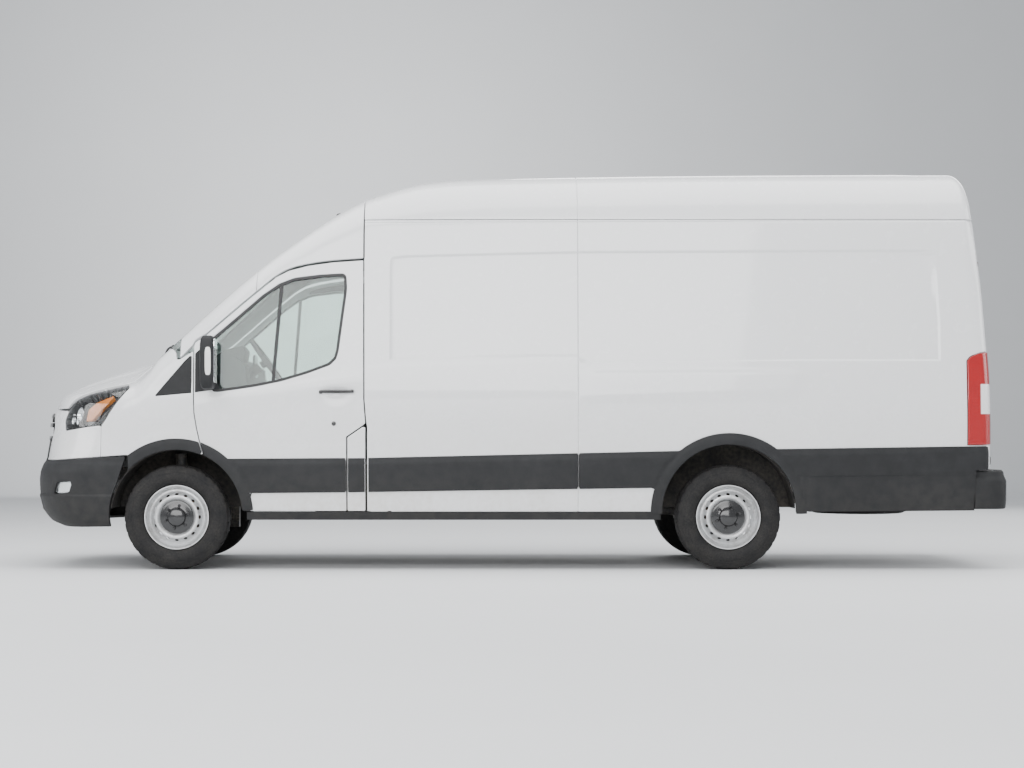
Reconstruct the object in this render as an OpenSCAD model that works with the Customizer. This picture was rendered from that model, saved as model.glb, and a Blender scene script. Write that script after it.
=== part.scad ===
// High-roof cargo van. Millimetres, +Z up, front towards -X, driver's side towards -Y.
// Origin on the ground under the middle of the vehicle's box.
// The body skin is one surface, skin_gap() = 0: a plan outline, a top line and a tail blended by fillets.
// Each panel is a slab under that surface, cut to its own outline.

/* [Body] */
// Overall length, bumper to bumper
body_length = 6704; // [6500:4:8100]
// Overall width of the body without mirrors
body_width = 2060; // [1950:2:2480]
// Height of the roof above the ground
roof_height = 2752; // [2700:2:3320]
// Distance between the two axles
wheelbase = 3750; // [3600:5:4500]
// Front bumper to front axle
front_overhang = 1035; // [1020:5:1060]
// Front axle to the pillar behind the front door
cab_length = 1272; // [1260:2:1530]
// Lower edge of the painted body
sill_z = 395; // [380:1:420]
// Height of the load floor
floor_z = 720; // [716:1:750]

/* [Panels] */
// Thickness of a whole body side wall
wall_t = 50; // [40:1:60]
// Thickness of a whole door
door_t = 60; // [50:1:72]
// Thickness of the roof with its bows
roof_t = 40; // [30:1:50]
// Thickness of the bonnet, fenders and nose
panel_t = 26; // [20:1:32]
// Glass thickness
glass_t = 6; // [5:0.5:8]
// Shut line round a panel that moves
shut_gap = 9; // [8:0.5:12]
// Seam between two fixed panels
seam = 4; // [3:0.5:6]
// How far the dark cladding stands off the skin
clad_t = 14; // [12:1:18]

/* [Wheels] */
// Outer diameter of a tyre
tyre_d = 712; // [660:2:760]
// Width of a tyre
tyre_w = 235; // [195:1:245]
// Distance between the middles of the two tyres of one axle
track = 1740; // [1690:2:1780]
// Bead seat diameter of the steel wheel
rim_d = 406; // [380:2:430]
// Space between the tyre and the wheel arch
arch_room = 90; // [80:1:110]

/* [Hidden] */
$fn = 48;

front_x = -body_length / 2;
rear_x = body_length / 2;
half_w = body_width / 2;
fa = front_x + front_overhang; // front axle
ra = fa + wheelbase;           // rear axle
bp = fa + cab_length;          // pillar behind the front door
axle_z = tyre_d / 2;
front_arch_r = tyre_d / 2 + arch_room;
rear_arch_r = front_arch_r + 6;
rear_arch_z = axle_z + 42;
front_arch_z = axle_z + 12;
arch_trim_w = 78;
nose_start = fa - 283;         // where the sides begin to curve in towards the nose
ws_top_z = 2118;               // upper edge of the windshield
door_top_z = 2108;
clad_low = 130;                // from the sill up to the lower edge of the side cladding
clad_high = 370;               // from the sill up to its upper edge
gutter_z = roof_height - 363;  // joint between the side wall and the roof
rear_pillar = 104;             // from the body's side to the rear door opening
rear_door_low = 694;
rear_door_high = roof_height - 182;
bumper_step_z = 678;

// ---- curves through a few points, and the body surface ----

function secant(c, i) = (c[i + 1][1] - c[i][1]) / (c[i + 1][0] - c[i][0]);
function slope_at(c, i) =
  i == 0 ? secant(c, 0) :
  i == len(c) - 1 ? secant(c, i - 1) :
  let (a = secant(c, i - 1), b = secant(c, i)) a * b <= 0 ? 0 : 2 * a * b / (a + b);
function segment_of(c, x, lo, hi) =
  hi - lo <= 1 ? lo : let (m = floor((lo + hi) / 2)) c[m][0] <= x ? segment_of(c, x, m, hi) : segment_of(c, x, lo, m);
// Smooth curve through the points c, flat beyond its ends
function curve(c, x) =
  x <= c[0][0] ? c[0][1] :
  x >= c[len(c) - 1][0] ? c[len(c) - 1][1] :
  let (
    i = segment_of(c, x, 0, len(c) - 1), h = c[i + 1][0] - c[i][0], t = (x - c[i][0]) / h,
    a = slope_at(c, i), b = slope_at(c, i + 1)
  )
  c[i][1] * (1 + 2 * t) * (1 - t) * (1 - t) + h * a * t * (1 - t) * (1 - t)
  + c[i + 1][1] * t * t * (3 - 2 * t) + h * b * t * t * (t - 1);
function mix(a, b, t) = a + (b - a) * t;
function cap_z(t) = mix(ws_top_z, roof_height, t);

// Middle line of the hood, windshield and roof, as [x, z]
top_line = [
  [fa - 1000, 1050], [fa - 975, 1082], [fa - 935, 1132], [fa - 856, 1205], [fa - 766, 1252], [fa - 648, 1297],
  [fa - 494, 1350], [fa - 286, 1416], [fa - 195, 1452], [fa - 115, 1516], [fa + 248, 1842],
  [fa + 573, ws_top_z], [fa + 809, cap_z(0.285)], [fa + 1061, cap_z(0.56)], [fa + 1245, cap_z(0.72)],
  [fa + 1453, cap_z(0.83)], [fa + 1660, cap_z(0.9)], [fa + 1900, cap_z(0.935)], [fa + 2300, cap_z(0.953)],
  [fa + 3600, cap_z(0.982)], [rear_x, roof_height]
];
// Fall of the top at 700 mm from the middle, along x
crown_line = [[fa - 975, 70], [fa - 300, 96], [fa - 115, 44], [fa + 573, 40], [fa + 1245, 56], [fa + 1900, 42], [rear_x, 40]];
// Fillet between the side and the top, along x
edge_line = [[fa - 975, 55], [fa - 400, 90], [fa - 100, 100], [fa + 573, 105], [fa + 1245, 170], [fa + 1900, 230], [rear_x, 230]];
// Lean of the side inwards, along z
side_line = [
  [290, 62], [395, 40], [520, 22], [760, 4], [1000, 0], [1300, 12], [1450, 24], [1800, 60], [2110, 96],
  [gutter_z, 130], [gutter_z + 70, 144], [roof_height, 196]
];
// Foremost point of the nose, along z
nose_line = [
  [290, front_x + 190], [340, front_x + 96], [420, front_x + 40], [520, front_x + 16], [640, front_x + 15],
  [700, front_x + 26], [760, front_x + 38], [935, front_x + 30], [1040, front_x + 42], [1090, front_x + 66]
];
// Roundness of the nose in plan: 2 is an ellipse, more is blunter
nose_power = [[420, 3.3], [640, 3.3], [760, 2.6], [950, 2.08], [1100, 2.02]];
// Rearmost point of the tail, along z
tail_line = [
  [400, rear_x - 116], [844, rear_x - 113], [1236, rear_x - 118], [1578, rear_x - 138], [1912, rear_x - 162],
  [2148, rear_x - 189], [2413, rear_x - 222], [2610, rear_x - 252], [roof_height, rear_x - 290]
];
tail_bow = 28;
tail_fillet = 68;

// The sides draw in a little towards the cab and the tail
function waist(x) = 30 * pow(max(0, bp + 60 - x) / 1600, 2) + 16 * pow(max(0, x - ra - 900) / 800, 2);
function side_w(x, z) = half_w - curve(side_line, z) - waist(x);
function fillet(a, b, r) = a > -r && b > -r ? norm([a + r, b + r]) - r : max(a, b);
function plan_gap(x, y, z) =
  let (
    d = max(0, nose_start - x), w = side_w(max(x, nose_start), z), a = nose_start - curve(nose_line, z),
    n = curve(nose_power, z), rho = pow(pow(d / a, n) + pow(abs(y) / w, n), 1 / n)
  )
  rho < 0.001 ? -w : (1 - 1 / rho) * norm([d, y]);
function top_gap(x, y, z) =
  let (s = (curve(top_line, x + 8) - curve(top_line, x - 8)) / 16)
  (z - curve(top_line, x) + curve(crown_line, x) * pow(y / 700, 2)) / sqrt(1 + s * s);
function tail_gap(x, y, z) = x - curve(tail_line, z) + tail_bow * pow(y / 1000, 2);
// Below zero inside the body, above zero outside
function skin_gap(x, y, z) =
  fillet(
    fillet(plan_gap(x, y, z), top_gap(x, y, z), curve(edge_line, x)),
    tail_gap(x, y, z), tail_fillet
  );
// Distance from o along d to the skin, by halving the interval from lo to hi
function reach(o, d, lo, hi, n = 15) =
  n == 0 ? (lo + hi) / 2 :
  let (m = (lo + hi) / 2, p = o + m * d)
  skin_gap(p.x, p.y, p.z) < 0 ? reach(o, d, m, hi, n - 1) : reach(o, d, lo, m, n - 1);

function steps(a, b, n) = [for (i = [0:n]) a + (b - a) * i / n];

// ---- slabs under the skin ----

// Closed solid between two grids of points, rows by columns
module sheet_solid(outer, inner) {
  rows = len(outer);
  cols = len(outer[0]);
  m = rows * cols;
  function at(i, j) = i * cols + j;
  points = [for (s = [outer, inner]) for (row = s) each row];
  faces = [
    for (i = [0:rows - 2]) for (j = [0:cols - 2]) each [
      [at(i, j), at(i + 1, j), at(i + 1, j + 1)], [at(i, j), at(i + 1, j + 1), at(i, j + 1)],
      [m + at(i, j), m + at(i + 1, j + 1), m + at(i + 1, j)], [m + at(i, j), m + at(i, j + 1), m + at(i + 1, j + 1)]
    ],
    for (i = [0:rows - 2]) each [
      [at(i, 0), m + at(i, 0), m + at(i + 1, 0)], [at(i, 0), m + at(i + 1, 0), at(i + 1, 0)],
      [at(i, cols - 1), m + at(i + 1, cols - 1), m + at(i, cols - 1)],
      [at(i, cols - 1), at(i + 1, cols - 1), m + at(i + 1, cols - 1)]
    ],
    for (j = [0:cols - 2]) each [
      [at(0, j), m + at(0, j + 1), m + at(0, j)], [at(0, j), at(0, j + 1), m + at(0, j + 1)],
      [at(rows - 1, j), m + at(rows - 1, j), m + at(rows - 1, j + 1)],
      [at(rows - 1, j), m + at(rows - 1, j + 1), at(rows - 1, j + 1)]
    ]
  ];
  polyhedron(points, faces, convexity = 10);
}

// Left side skin over the values xs and zs, from out mm outside the skin to t mm under it
module side_slab(xs, zs, t, out = 0) {
  y = [for (z = zs) [for (x = xs) reach([x, 0, z], [0, -1, 0], 0, half_w + 40)]];
  sheet_solid(
    [for (i = [0:len(zs) - 1]) [for (j = [0:len(xs) - 1]) [xs[j], -y[i][j] - out, zs[i]]]],
    [for (i = [0:len(zs) - 1]) [for (j = [0:len(xs) - 1]) [xs[j], -y[i][j] + t, zs[i]]]]
  );
}

// Upper skin across the body, by rays from a line inside it; a is the ray's angle above the left side
module over_slab(xs, as, t, depth, out = 0) {
  function o(x) = [x, 0, curve(top_line, x) - depth];
  function d(a) = [0, -cos(a), sin(a)];
  rows = [for (i = [len(xs) - 1:-1:0]) xs[i]];
  r = [for (x = rows) [for (a = as) reach(o(x), d(a), 0, 1900)]];
  sheet_solid(
    [for (i = [0:len(rows) - 1]) [for (j = [0:len(as) - 1]) o(rows[i]) + (r[i][j] + out) * d(as[j])]],
    [for (i = [0:len(rows) - 1]) [for (j = [0:len(as) - 1]) o(rows[i]) + (r[i][j] - t) * d(as[j])]]
  );
}

// Nose skin, by level rays from the middle of the body; a is the ray's angle from straight ahead
module nose_slab(as, zs, t, out = 0) {
  function o(z) = [nose_start, 0, z];
  function d(a) = [-cos(a), -sin(a), 0];
  r = [for (z = zs) [for (a = as) reach(o(z), d(a), 0, 1300)]];
  sheet_solid(
    [for (i = [0:len(zs) - 1]) [for (j = [0:len(as) - 1]) o(zs[i]) + (r[i][j] + out) * d(as[j])]],
    [for (i = [0:len(zs) - 1]) [for (j = [0:len(as) - 1]) o(zs[i]) + (r[i][j] - t) * d(as[j])]]
  );
}

// Tail skin over the values ys and zs
module tail_slab(ys, zs, t) {
  x = [for (z = zs) [for (y = ys) reach([ra, y, z], [1, 0, 0], 0, rear_x - ra + 60)]];
  sheet_solid(
    [for (i = [0:len(zs) - 1]) [for (j = [0:len(ys) - 1]) [ra + x[i][j], ys[j], zs[i]]]],
    [for (i = [0:len(zs) - 1]) [for (j = [0:len(ys) - 1]) [ra + x[i][j] - t, ys[j], zs[i]]]]
  );
}

// Outward direction of the skin at p, without the axes where keep is 0
function outward(p, keep = [1, 1, 1], h = 1) =
  let (g = [
    keep.x * (skin_gap(p.x + h, p.y, p.z) - skin_gap(p.x - h, p.y, p.z)),
    keep.y * (skin_gap(p.x, p.y + h, p.z) - skin_gap(p.x, p.y - h, p.z)),
    keep.z * (skin_gap(p.x, p.y, p.z + h) - skin_gap(p.x, p.y, p.z - h))
  ]) g / norm(g);
// Point of the skin at height z in the section at x, on the left
function on_side(x, z) = [x, -reach([x, 0, z], [0, -1, 0], 0, half_w + 40), z];
// Point of the skin above [x, y]
function on_top(x, y) = [x, y, 900 + reach([x, y, 900], [0, 0, 1], 0, 2000, 17)];
// Panel from a grid of skin points to the same grid moved in by t. Along an edge the move keeps to the
// axes that are 1 in first_row, last_row, first_col or last_col.
module panel(points, t, first_row = [1, 1, 1], last_row = [1, 1, 1], first_col = [1, 1, 1], last_col = [1, 1, 1]) {
  rows = len(points);
  cols = len(points[0]);
  function keep(i, j) = [for (k = [0:2])
    (i == 0 ? first_row[k] : 1) * (i == rows - 1 ? last_row[k] : 1) * (j == 0 ? first_col[k] : 1)
    * (j == cols - 1 ? last_col[k] : 1)];
  sheet_solid(
    [for (i = [rows - 1:-1:0]) points[i]],
    [for (i = [rows - 1:-1:0]) [for (j = [0:cols - 1]) points[i][j] - t * outward(points[i][j], keep(i, j))]]
  );
}

// A free-form panel is worked out as one mesh
module pressed() { resize([0, 0, 0]) children(); }
module right_hand() { mirror([0, 1, 0]) children(); }
module both_sides() { children(); right_hand() children(); }
// Prism over an outline drawn in side view, on the left half, on the right half or across
module side_cut(y0 = -1400, y1 = 0) { translate([0, y1, 0]) rotate([90, 0, 0]) linear_extrude(y1 - y0) children(); }
module across() { side_cut(-1400, 1400) children(); }
// Prism along x over an outline drawn as [y, z]
module front_cut(x0, x1) {
  translate([x0, 0, 0]) rotate([90, 0, 90]) linear_extrude(x1 - x0) children();
}
module block(x, y, z) { translate([x[0], y[0], z[0]]) cube([x[1] - x[0], y[1] - y[0], z[1] - z[0]]); }
module rod(a, b, r) {
  v = b - a;
  translate(a) rotate([0, acos(v.z / norm(v)), atan2(v.y, v.x)]) cylinder(r = r, h = norm(v), $fn = 32);
}

// ---- outlines in side view, as [x, z] ----

door_front_x = fa + 119;
flap_x = bp - 112;
flap_low = 506;  // from the sill up to the notch
flap_high = 594;
flap_t = 8;

// Upper edge of the front door, along x
door_head = [[fa + 119, 1525], [fa + 127, 1545], [fa + 197, 1590], [fa + 309, 1685], [fa + 457, 1812], [fa + 578, 1912],
             [fa + 674, 1990], [fa + 760, 2036], [fa + 891, 2070], [fa + 1063, 2094], [bp, door_top_z]];
// Whole side opening of the front door, before the shut line is taken off
module door_outline(notch = true) {
  difference() {
    polygon(concat(
      [[door_front_x, sill_z]], door_head, [[bp + 4, 1150]],
      notch ? [[bp + 17, sill_z + flap_high], [flap_x, sill_z + flap_low], [flap_x, sill_z]] : [[bp + 17, 989], [bp + 17, sill_z]]
    ));
    // the fender's curve ahead of the door and the wheel arch
    polygon([[door_front_x - 50, 1150], [door_front_x, 1150], [fa + 123, 1061], [fa + 140, 960], [fa + 159, 875],
             [fa + 182, 799], [fa + 200, 700], [door_front_x - 50, 700]]);
    translate([fa, front_arch_z]) circle(r = front_arch_r);
    polygon([[fa - 100, sill_z - 10], [fa + front_arch_r, sill_z - 10], [fa + front_arch_r, front_arch_z], [fa - 100, front_arch_z]]);
  }
}
module door_window_outline() {
  offset(r = 34, $fn = 32) offset(delta = -34) polygon([
    [fa + 239, 1205], [fa + 239, 1570], [fa + 325, 1642], [fa + 456, 1755], [fa + 586, 1868], [fa + 699, 1946],
    [fa + 803, 1985], [fa + 976, 2006], [bp - 116, 2016], [bp - 113, 1900], [bp - 168, 1480], [bp - 184, 1432],
    [bp - 226, 1387], [fa + 890, 1330], [fa + 716, 1278], [fa + 542, 1243], [fa + 369, 1217]
  ]);
}
module headlamp_outline() {
  offset(r = 14, $fn = 24) offset(delta = -14) polygon([
    [fa - 793, 944], [fa - 798, 1010], [fa - 778, 1062], [fa - 748, 1112], [fa - 704, 1153], [fa - 619, 1191],
    [fa - 489, 1222], [fa - 306, 1257], [fa - 401, 1153], [fa - 454, 1076], [fa - 489, 1014], [fa - 511, 981],
    [fa - 619, 971], [fa - 706, 958]
  ]);
}
// Everything that the bonnet covers
module hood_outline() {
  polygon([[fa - 1200, 1092], [fa - 790, 1092], [fa - 752, 1134], [fa - 708, 1168], [fa - 620, 1207], [fa - 490, 1238],
           [fa - 318, 1272], [fa - 240, 1352], [fa - 180, 1420], [fa - 180, 1700], [fa - 1200, 1700]]);
}
fascia_back = fa - 515;
module bumper_top_outline() {
  polygon([[fa - 1200, 742], [fa - 880, 742], [fa - 337, 778], [fa - 337, 1600], [fa - 1200, 1600]]);
}
module front_arch(r) { translate([fa, front_arch_z]) circle(r = r); }
module rear_arch(r) { translate([ra, rear_arch_z]) circle(r = r); }
// Foot of the windshield pillar
pillar_foot = [[fa - 5, 1479], [fa + 8, 1420]];
module fender_outline() {
  difference() {
    polygon([[fascia_back, 600], [fascia_back, 1500], [fa - 209, 1500], [fa - 150, 1640], pillar_foot[0], pillar_foot[1],
             [door_front_x, 1486], [door_front_x, 1150], [fa + 123, 1061], [fa + 140, 960], [fa + 159, 875],
             [fa + 182, 799], [fa + 200, 600]]);
    hood_outline();
    front_arch(front_arch_r);
    polygon([[fa - 1200, 600], [fa - 1200, 742], [fa - 880, 742], [fa - 337, 778], [fa, 700], [fa + 50, 600]]);
  }
}

// ---- painted panels ----

rear_column = [-88, -70, -52, -36, -22, -12, -6, -2.5];
function tail_edge(z) = curve(tail_line, z) - tail_bow;

// Side wall from the door pillar to the tail; the last columns follow the rounded rear corner
module wall(openings = false) {
  zs = concat([sill_z, 520, 700, 1003, 1300, 1450, 1630, 1800, 1960, 2110, 2250], [gutter_z + 31]);
  xs_front = concat([bp - 1], steps(bp + 700, rear_x - 322, 6));
  nx = len(xs_front);
  function col(z, j) = j < nx ? xs_front[j] : tail_edge(z) + rear_column[j - nx];
  y = [for (z = zs) [for (j = [0:nx + len(rear_column) - 1]) reach([col(z, j), 0, z], [0, -1, 0], 0, half_w + 40)]];
  intersection() {
    sheet_solid(
      [for (i = [0:len(zs) - 1]) [for (j = [0:nx + len(rear_column) - 1]) [col(zs[i], j), -y[i][j], zs[i]]]],
      [for (i = [0:len(zs) - 1]) [for (j = [0:nx + len(rear_column) - 1]) [col(zs[i], j), -y[i][j] + wall_t, zs[i]]]]
    );
    side_cut() difference() {
      polygon([[bp, sill_z], [rear_x, sill_z], [rear_x, gutter_z - seam], [bp, gutter_z - seam]]);
      rear_arch(rear_arch_r);
      polygon([[ra - rear_arch_r, 0], [ra + rear_arch_r, 0], [ra + rear_arch_r, rear_arch_z], [ra - rear_arch_r, rear_arch_z]]);
      tail_lamp_outline(seam);
      // below the dark rear corner only the bumper remains
      polygon([[ra + rear_arch_r - 10, 0], [rear_x, 0], [rear_x, bumper_step_z + 10], [rear_x - 262, bumper_step_z + 10],
               [ra + rear_arch_r - 10, sill_z + 20]]);
      children();
    }
    tail_post();
  }
}
// What lies outside the rear doors' opening, on the left
module tail_post() {
  difference() {
    block([bp - 10, rear_x], [-half_w - 60, -400], [0, roof_height]);
    front_cut(rear_x - 420, rear_x + 10) offset(delta = shut_gap) rear_opening();
  }
}
module left_side() {
  color("white") pressed() union() {
    wall() {
      offset(delta = seam) door_outline();
      offset(delta = shut_gap) flap_outline();
    }
    // floor of the filler recess behind the flap
    block([flap_x + 12, bp + 60], [-half_w + 47, -half_w + 70], [sill_z + 10, sill_z + flap_low]);
  }
}
module right_side() {
  color("white") right_hand() pressed() wall() {
    offset(delta = seam) door_outline(false);
    offset(delta = seam) slider_outline();
  }
}
slider_x = [bp + 70, bp + 1440];
slider_z = [sill_z + 12, gutter_z - 90];
module slider_outline() {
  offset(r = 50, $fn = 24) offset(delta = -50)
    polygon([[slider_x[0], slider_z[0]], [slider_x[1], slider_z[0]], [slider_x[1] + 6, slider_z[1] + 14], [slider_x[0], slider_z[1]]]);
}
module sliding_door() {
  color("white") right_hand() pressed() intersection() {
    side_slab(steps(slider_x[0] - 5, slider_x[1] + 12, 3), [sill_z, 520, 700, 1003, 1300, 1450, 1630, 1800, 1960, 2110, 2250, gutter_z + 14], door_t);
    side_cut() offset(delta = -seam / 2) slider_outline();
  }
}
module flap_outline() {
  polygon([[flap_x, sill_z], [flap_x, sill_z + flap_low], [bp + 17, sill_z + flap_high], [bp + 17, sill_z]]);
}
module fuel_flap() {
  color("white") pressed() intersection() {
    side_slab([flap_x - 10, bp + 30], steps(sill_z - 5, sill_z + flap_high + 10, 5), flap_t);
    side_cut() offset(delta = -shut_gap / 2) flap_outline();
  }
}

// Front doors: an outer skin to the shut line and a narrower inner body, with the window cut through
module door(notch) {
  zs = concat([sill_z - 5, 520, 760, 1003, 1300], steps(1450, door_top_z + 20, 5));
  xs = steps(door_front_x - 20, bp + 30, 5);
  skin_t = 20;
  pressed() union() {
    intersection() {
      side_slab(xs, zs, skin_t);
      side_cut() difference() {
        offset(delta = -shut_gap / 2) door_outline(notch);
        door_window_outline();
      }
    }
    intersection() {
      side_slab(xs, zs, door_t);
      side_cut() difference() {
        offset(delta = -shut_gap / 2 - 16) door_outline(notch);
        door_window_outline();
      }
    }
  }
}
module driver_door() { color("white") door(true); }
module passenger_door() { color("white") right_hand() door(false); }
module door_glass() {
  pressed() translate([0, 12, 0]) intersection() {
    side_slab(steps(fa + 220, bp - 90, 7), steps(1190, 2030, 7), glass_t);
    side_cut() offset(delta = -2) door_window_outline();
  }
}
module driver_window() { color("lightblue") door_glass(); }
module passenger_window() { color("lightblue") right_hand() door_glass(); }

module fenders() {
  color("white") both_sides() pressed() intersection() {
    side_slab(steps(fascia_back - 10, fa + 210, 11), concat(steps(590, 1200, 6), steps(1260, 1640, 6)), panel_t);
    side_cut() offset(delta = -seam / 2) difference() {
      fender_outline();
      offset(delta = seam / 2) headlamp_outline();
    }
    // clear of the windshield
    front_cut(front_x, fa + 300) difference() {
      translate([-1400, 0]) square([1400, 2000]);
      translate([-840, 1398]) square([840, 700]);
    }
  }
}
module front_fascia() {
  zs = concat(steps(735, 1000, 4), [1050, 1088]);
  color("white") pressed() intersection() {
    nose_slab(steps(-80, 80, 20), zs, panel_t);
    across() offset(delta = -seam / 2) difference() {
      bumper_top_outline();
      offset(delta = shut_gap) hood_outline();
      offset(delta = seam / 2) headlamp_outline();
      translate([fascia_back, 0]) square([2000, 2000]);
    }
    front_cut(front_x - 50, fa) difference() {
      translate([-1400, 0]) square([2800, 2000]);
      offset(delta = seam) grille_outline();
    }
  }
}
module grille_outline() {
  offset(r = 30, $fn = 24) offset(delta = -30)
    polygon([[-452, 1066], [452, 1066], [528, 968], [430, 700], [-430, 700], [-528, 968]]);
}
// Frame with level bars; the mesh behind them is left to the finish
module grille() {
  color([0.06, 0.06, 0.06]) pressed() intersection() {
    union() {
      intersection() {
        nose_slab(steps(-45, 45, 10), steps(690, 1076, 5), 40, 8);
        front_cut(front_x - 50, fa) difference() {
          grille_outline();
          offset(delta = -34) grille_outline();
        }
      }
      for (z = [790, 880, 970]) intersection() {
        nose_slab(steps(-45, 45, 10), [z, z + 34], 36, 4);
        front_cut(front_x - 50, fa) offset(delta = -10) grille_outline();
      }
    }
    block([front_x - 50, fa - 560], [-600, 600], [600, 1200]);
  }
}
module headlamps() {
  color([0.25, 0.25, 0.27]) both_sides() pressed() intersection() {
    nose_slab(steps(30, 89, 9), steps(930, 1270, 7), 90, -1);
    side_cut() offset(delta = -1) headlamp_outline();
    block([front_x, fa], [-1400, -600], [0, 2000]);
  }
}
hood_back = fa - 212;
// Edge between the bonnet and the fender, along x
hood_side = [[fa - 786, 1097], [fa - 752, 1139], [fa - 708, 1173], [fa - 620, 1212], [fa - 490, 1243], [fa - 318, 1278],
             [fa - 240, 1358], [hood_back + 2, 1388]];
module hood() {
  front_z = 1097;
  wide = -on_side(fa - 786, front_z).y;
  function nose(y) = nose_start - reach([nose_start, y, front_z], [-1, 0, 0], 0, 1300);
  corner = nose(wide);
  us = [-1, -0.86, -0.68, -0.42, 0, 0.42, 0.68, 0.86, 1];
  points = [for (v = [0, 0.06, 0.16, 0.34, 0.62, 0.82, 1])
    let (
      s = on_side(mix(corner, hood_back, v), curve(hood_side, mix(fa - 786, hood_back, v))),
      tip = mix(nose(0), hood_back - 40, v)
    )
    [for (u = us)
      let (bow = mix((nose(u * wide) - corner) / (nose(0) - corner), 1 - u * u, v), x = s.x + (tip - s.x) * bow)
      v == 0 ? [nose(u * wide), u * wide, front_z] : on_top(x, -u * s.y)]];
  color("white") panel(points, panel_t, [1, 1, 0], [0, 1, 1], [0, 1, 0], [0, 1, 0]);
}
// Half width of the windshield, along x
glass_line = [[fa - 200, 836], [fa - 60, 822], [fa + 541, 738]];
glass_top = fa + 568;
glass_bow = 34;
module windshield() {
  points = [for (v = [0, 0.22, 0.5, 0.78, 1]) [for (u = [-1, -0.8, -0.5, 0, 0.5, 0.8, 1])
    let (x = mix(hood_back + 22 + 56 * u * u, glass_top - glass_bow * u * u, v)) on_top(x, u * curve(glass_line, x))]];
  color("lightblue") panel(points, glass_t, [0, 1, 1], [1, 1, 1], [1, 0, 1], [1, 0, 1]);
}
// Plastic panel at the foot of the windshield, below the skin
module cowl() {
  color([0.07, 0.07, 0.07]) pressed() intersection() {
    over_slab(steps(fa - 275, fa - 128, 4), steps(23, 157, 13), 58, 420, out = -46);
    block([fa - 268, fa - 132], [-800, 800], [1300, 1700]);
  }
}
function pillar_low(x) = x < fa + 119 ? mix(1424, 1534, (x - fa - 14) / 105) : curve(door_head, x) + shut_gap * 1.4;
// Windshield pillars, between the glass and the door
module windshield_pillars() {
  color("white") both_sides()
    panel([for (x = [fa + 14, fa + 66, fa + 118, fa + 190, fa + 300, fa + 420, fa + 541])
      let (low = on_side(x, pillar_low(x)), top = on_top(x, -curve(glass_line, x) - seam))
      [for (s = [0, 0.2, 0.42, 0.68, 1])
        let (o = [x, 0, low.z - 150], d = mix(low, top, s) - o, n = d / norm(d)) o + reach(o, n, 0, 1300) * n]],
      roof_t, [0, 1, 1], [0, 1, 1], [0, 1, 0], [1, 0, 1]);
}
// Front of the roof
module cab_roof() {
  color("white") panel([for (v = [0, 0.3, 0.65, 1]) [for (a = [0, 7, 15, 25, 37, 52, 70, 90, 110, 128, 143, 155, 165, 173, 180])
      let (
        rise = ws_top_z - curve(door_head, glass_top) - shut_gap,
        x = mix(glass_top + 11 - glass_bow * min(1, pow(rise * cos(a), 2) / max(1, pow(738 * sin(a), 2))), bp - seam, v),
        z0 = curve(door_head, x) + shut_gap * 1.4, o = [x, 0, z0], d = [0, -cos(a), sin(a)]
      )
      o + reach(o, d, 0, 1300) * d]],
    roof_t, [1, 1, 1], [0, 1, 1], [0, 1, 0], [0, 1, 0]);
}
module cargo_roof() {
  as = [0, 6, 12, 18, 25, 36, 56, 90, 124, 144, 155, 162, 168, 174, 180];
  last = rear_x - 420;
  w = side_w(rear_x - 150, 2450) - rear_pillar;
  top = rear_door_high;
  // the edge left open for the rear doors, one point for each ray
  edge = [[-w - 42, gutter_z], [-w - 32, top - 84], [-w - 18, top - 40], [-w - 2, top - 10], [-w + 54, top + 14], [-w + 140, top + 12],
          [-w * 0.4, top + 12], [0, top + 12]];
  back = concat(edge, [for (i = [6:-1:0]) [-edge[i][0], edge[i][1]]]);
  o = [last, 0, gutter_z];
  points = concat(
    [for (x = [bp + seam, bp + 250, bp + 800, last]) [for (a = as)
      [x, 0, gutter_z] + reach([x, 0, gutter_z], [0, -cos(a), sin(a)], 0, 1300) * [0, -cos(a), sin(a)]]],
    [for (s = [0.24, 0.45, 0.66, 0.84, 1]) [for (j = [0:14])
      let (
        e = [last + reach([last, back[j][0], back[j][1]], [1, 0, 0], 0, 480), back[j][0], back[j][1]] - o,
        d = mix([0, -cos(as[j]), sin(as[j])], e / norm(e), s), n = d / norm(d)
      )
      o + reach(o, n, 0, 1300) * n]]
  );
  color("white") panel(points, roof_t, [0, 1, 1], [1, 0, 0], [1, 1, 0], [1, 1, 0]);
}
// Opening of both rear doors together, as [y, z]
module rear_opening() {
  function w(z) = side_w(rear_x - 150, z) - rear_pillar;
  edge = [[w(1000) - 8, rear_door_low], [w(1000), 1000], [w(1450), 1450], [w(2050), 2050],
          [w(2450) + 16, rear_door_high - 90], [w(2450) - 10, rear_door_high - 24], [w(2450) - 64, rear_door_high]];
  polygon(concat(edge, [for (i = [len(edge) - 1:-1:0]) [-edge[i][0], edge[i][1]]]));
}

// ---- tail ----

// One rear door, hinged at the outer edge
module rear_door() {
  zs = concat([rear_door_low - 5, 844], steps(1000, rear_door_high + 10, 9));
  intersection() {
    tail_slab(concat(steps(-910, -800, 3), steps(-610, 0, 4)), zs, door_t);
    front_cut(ra, rear_x) intersection() {
      rear_opening();
      translate([-1400, 0]) square([1400 - shut_gap / 2, 3600]);
    }
  }
}
module left_rear_door() { color("white") pressed() rear_door(); }
module right_rear_door() { color("white") right_hand() pressed() rear_door(); }
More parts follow.
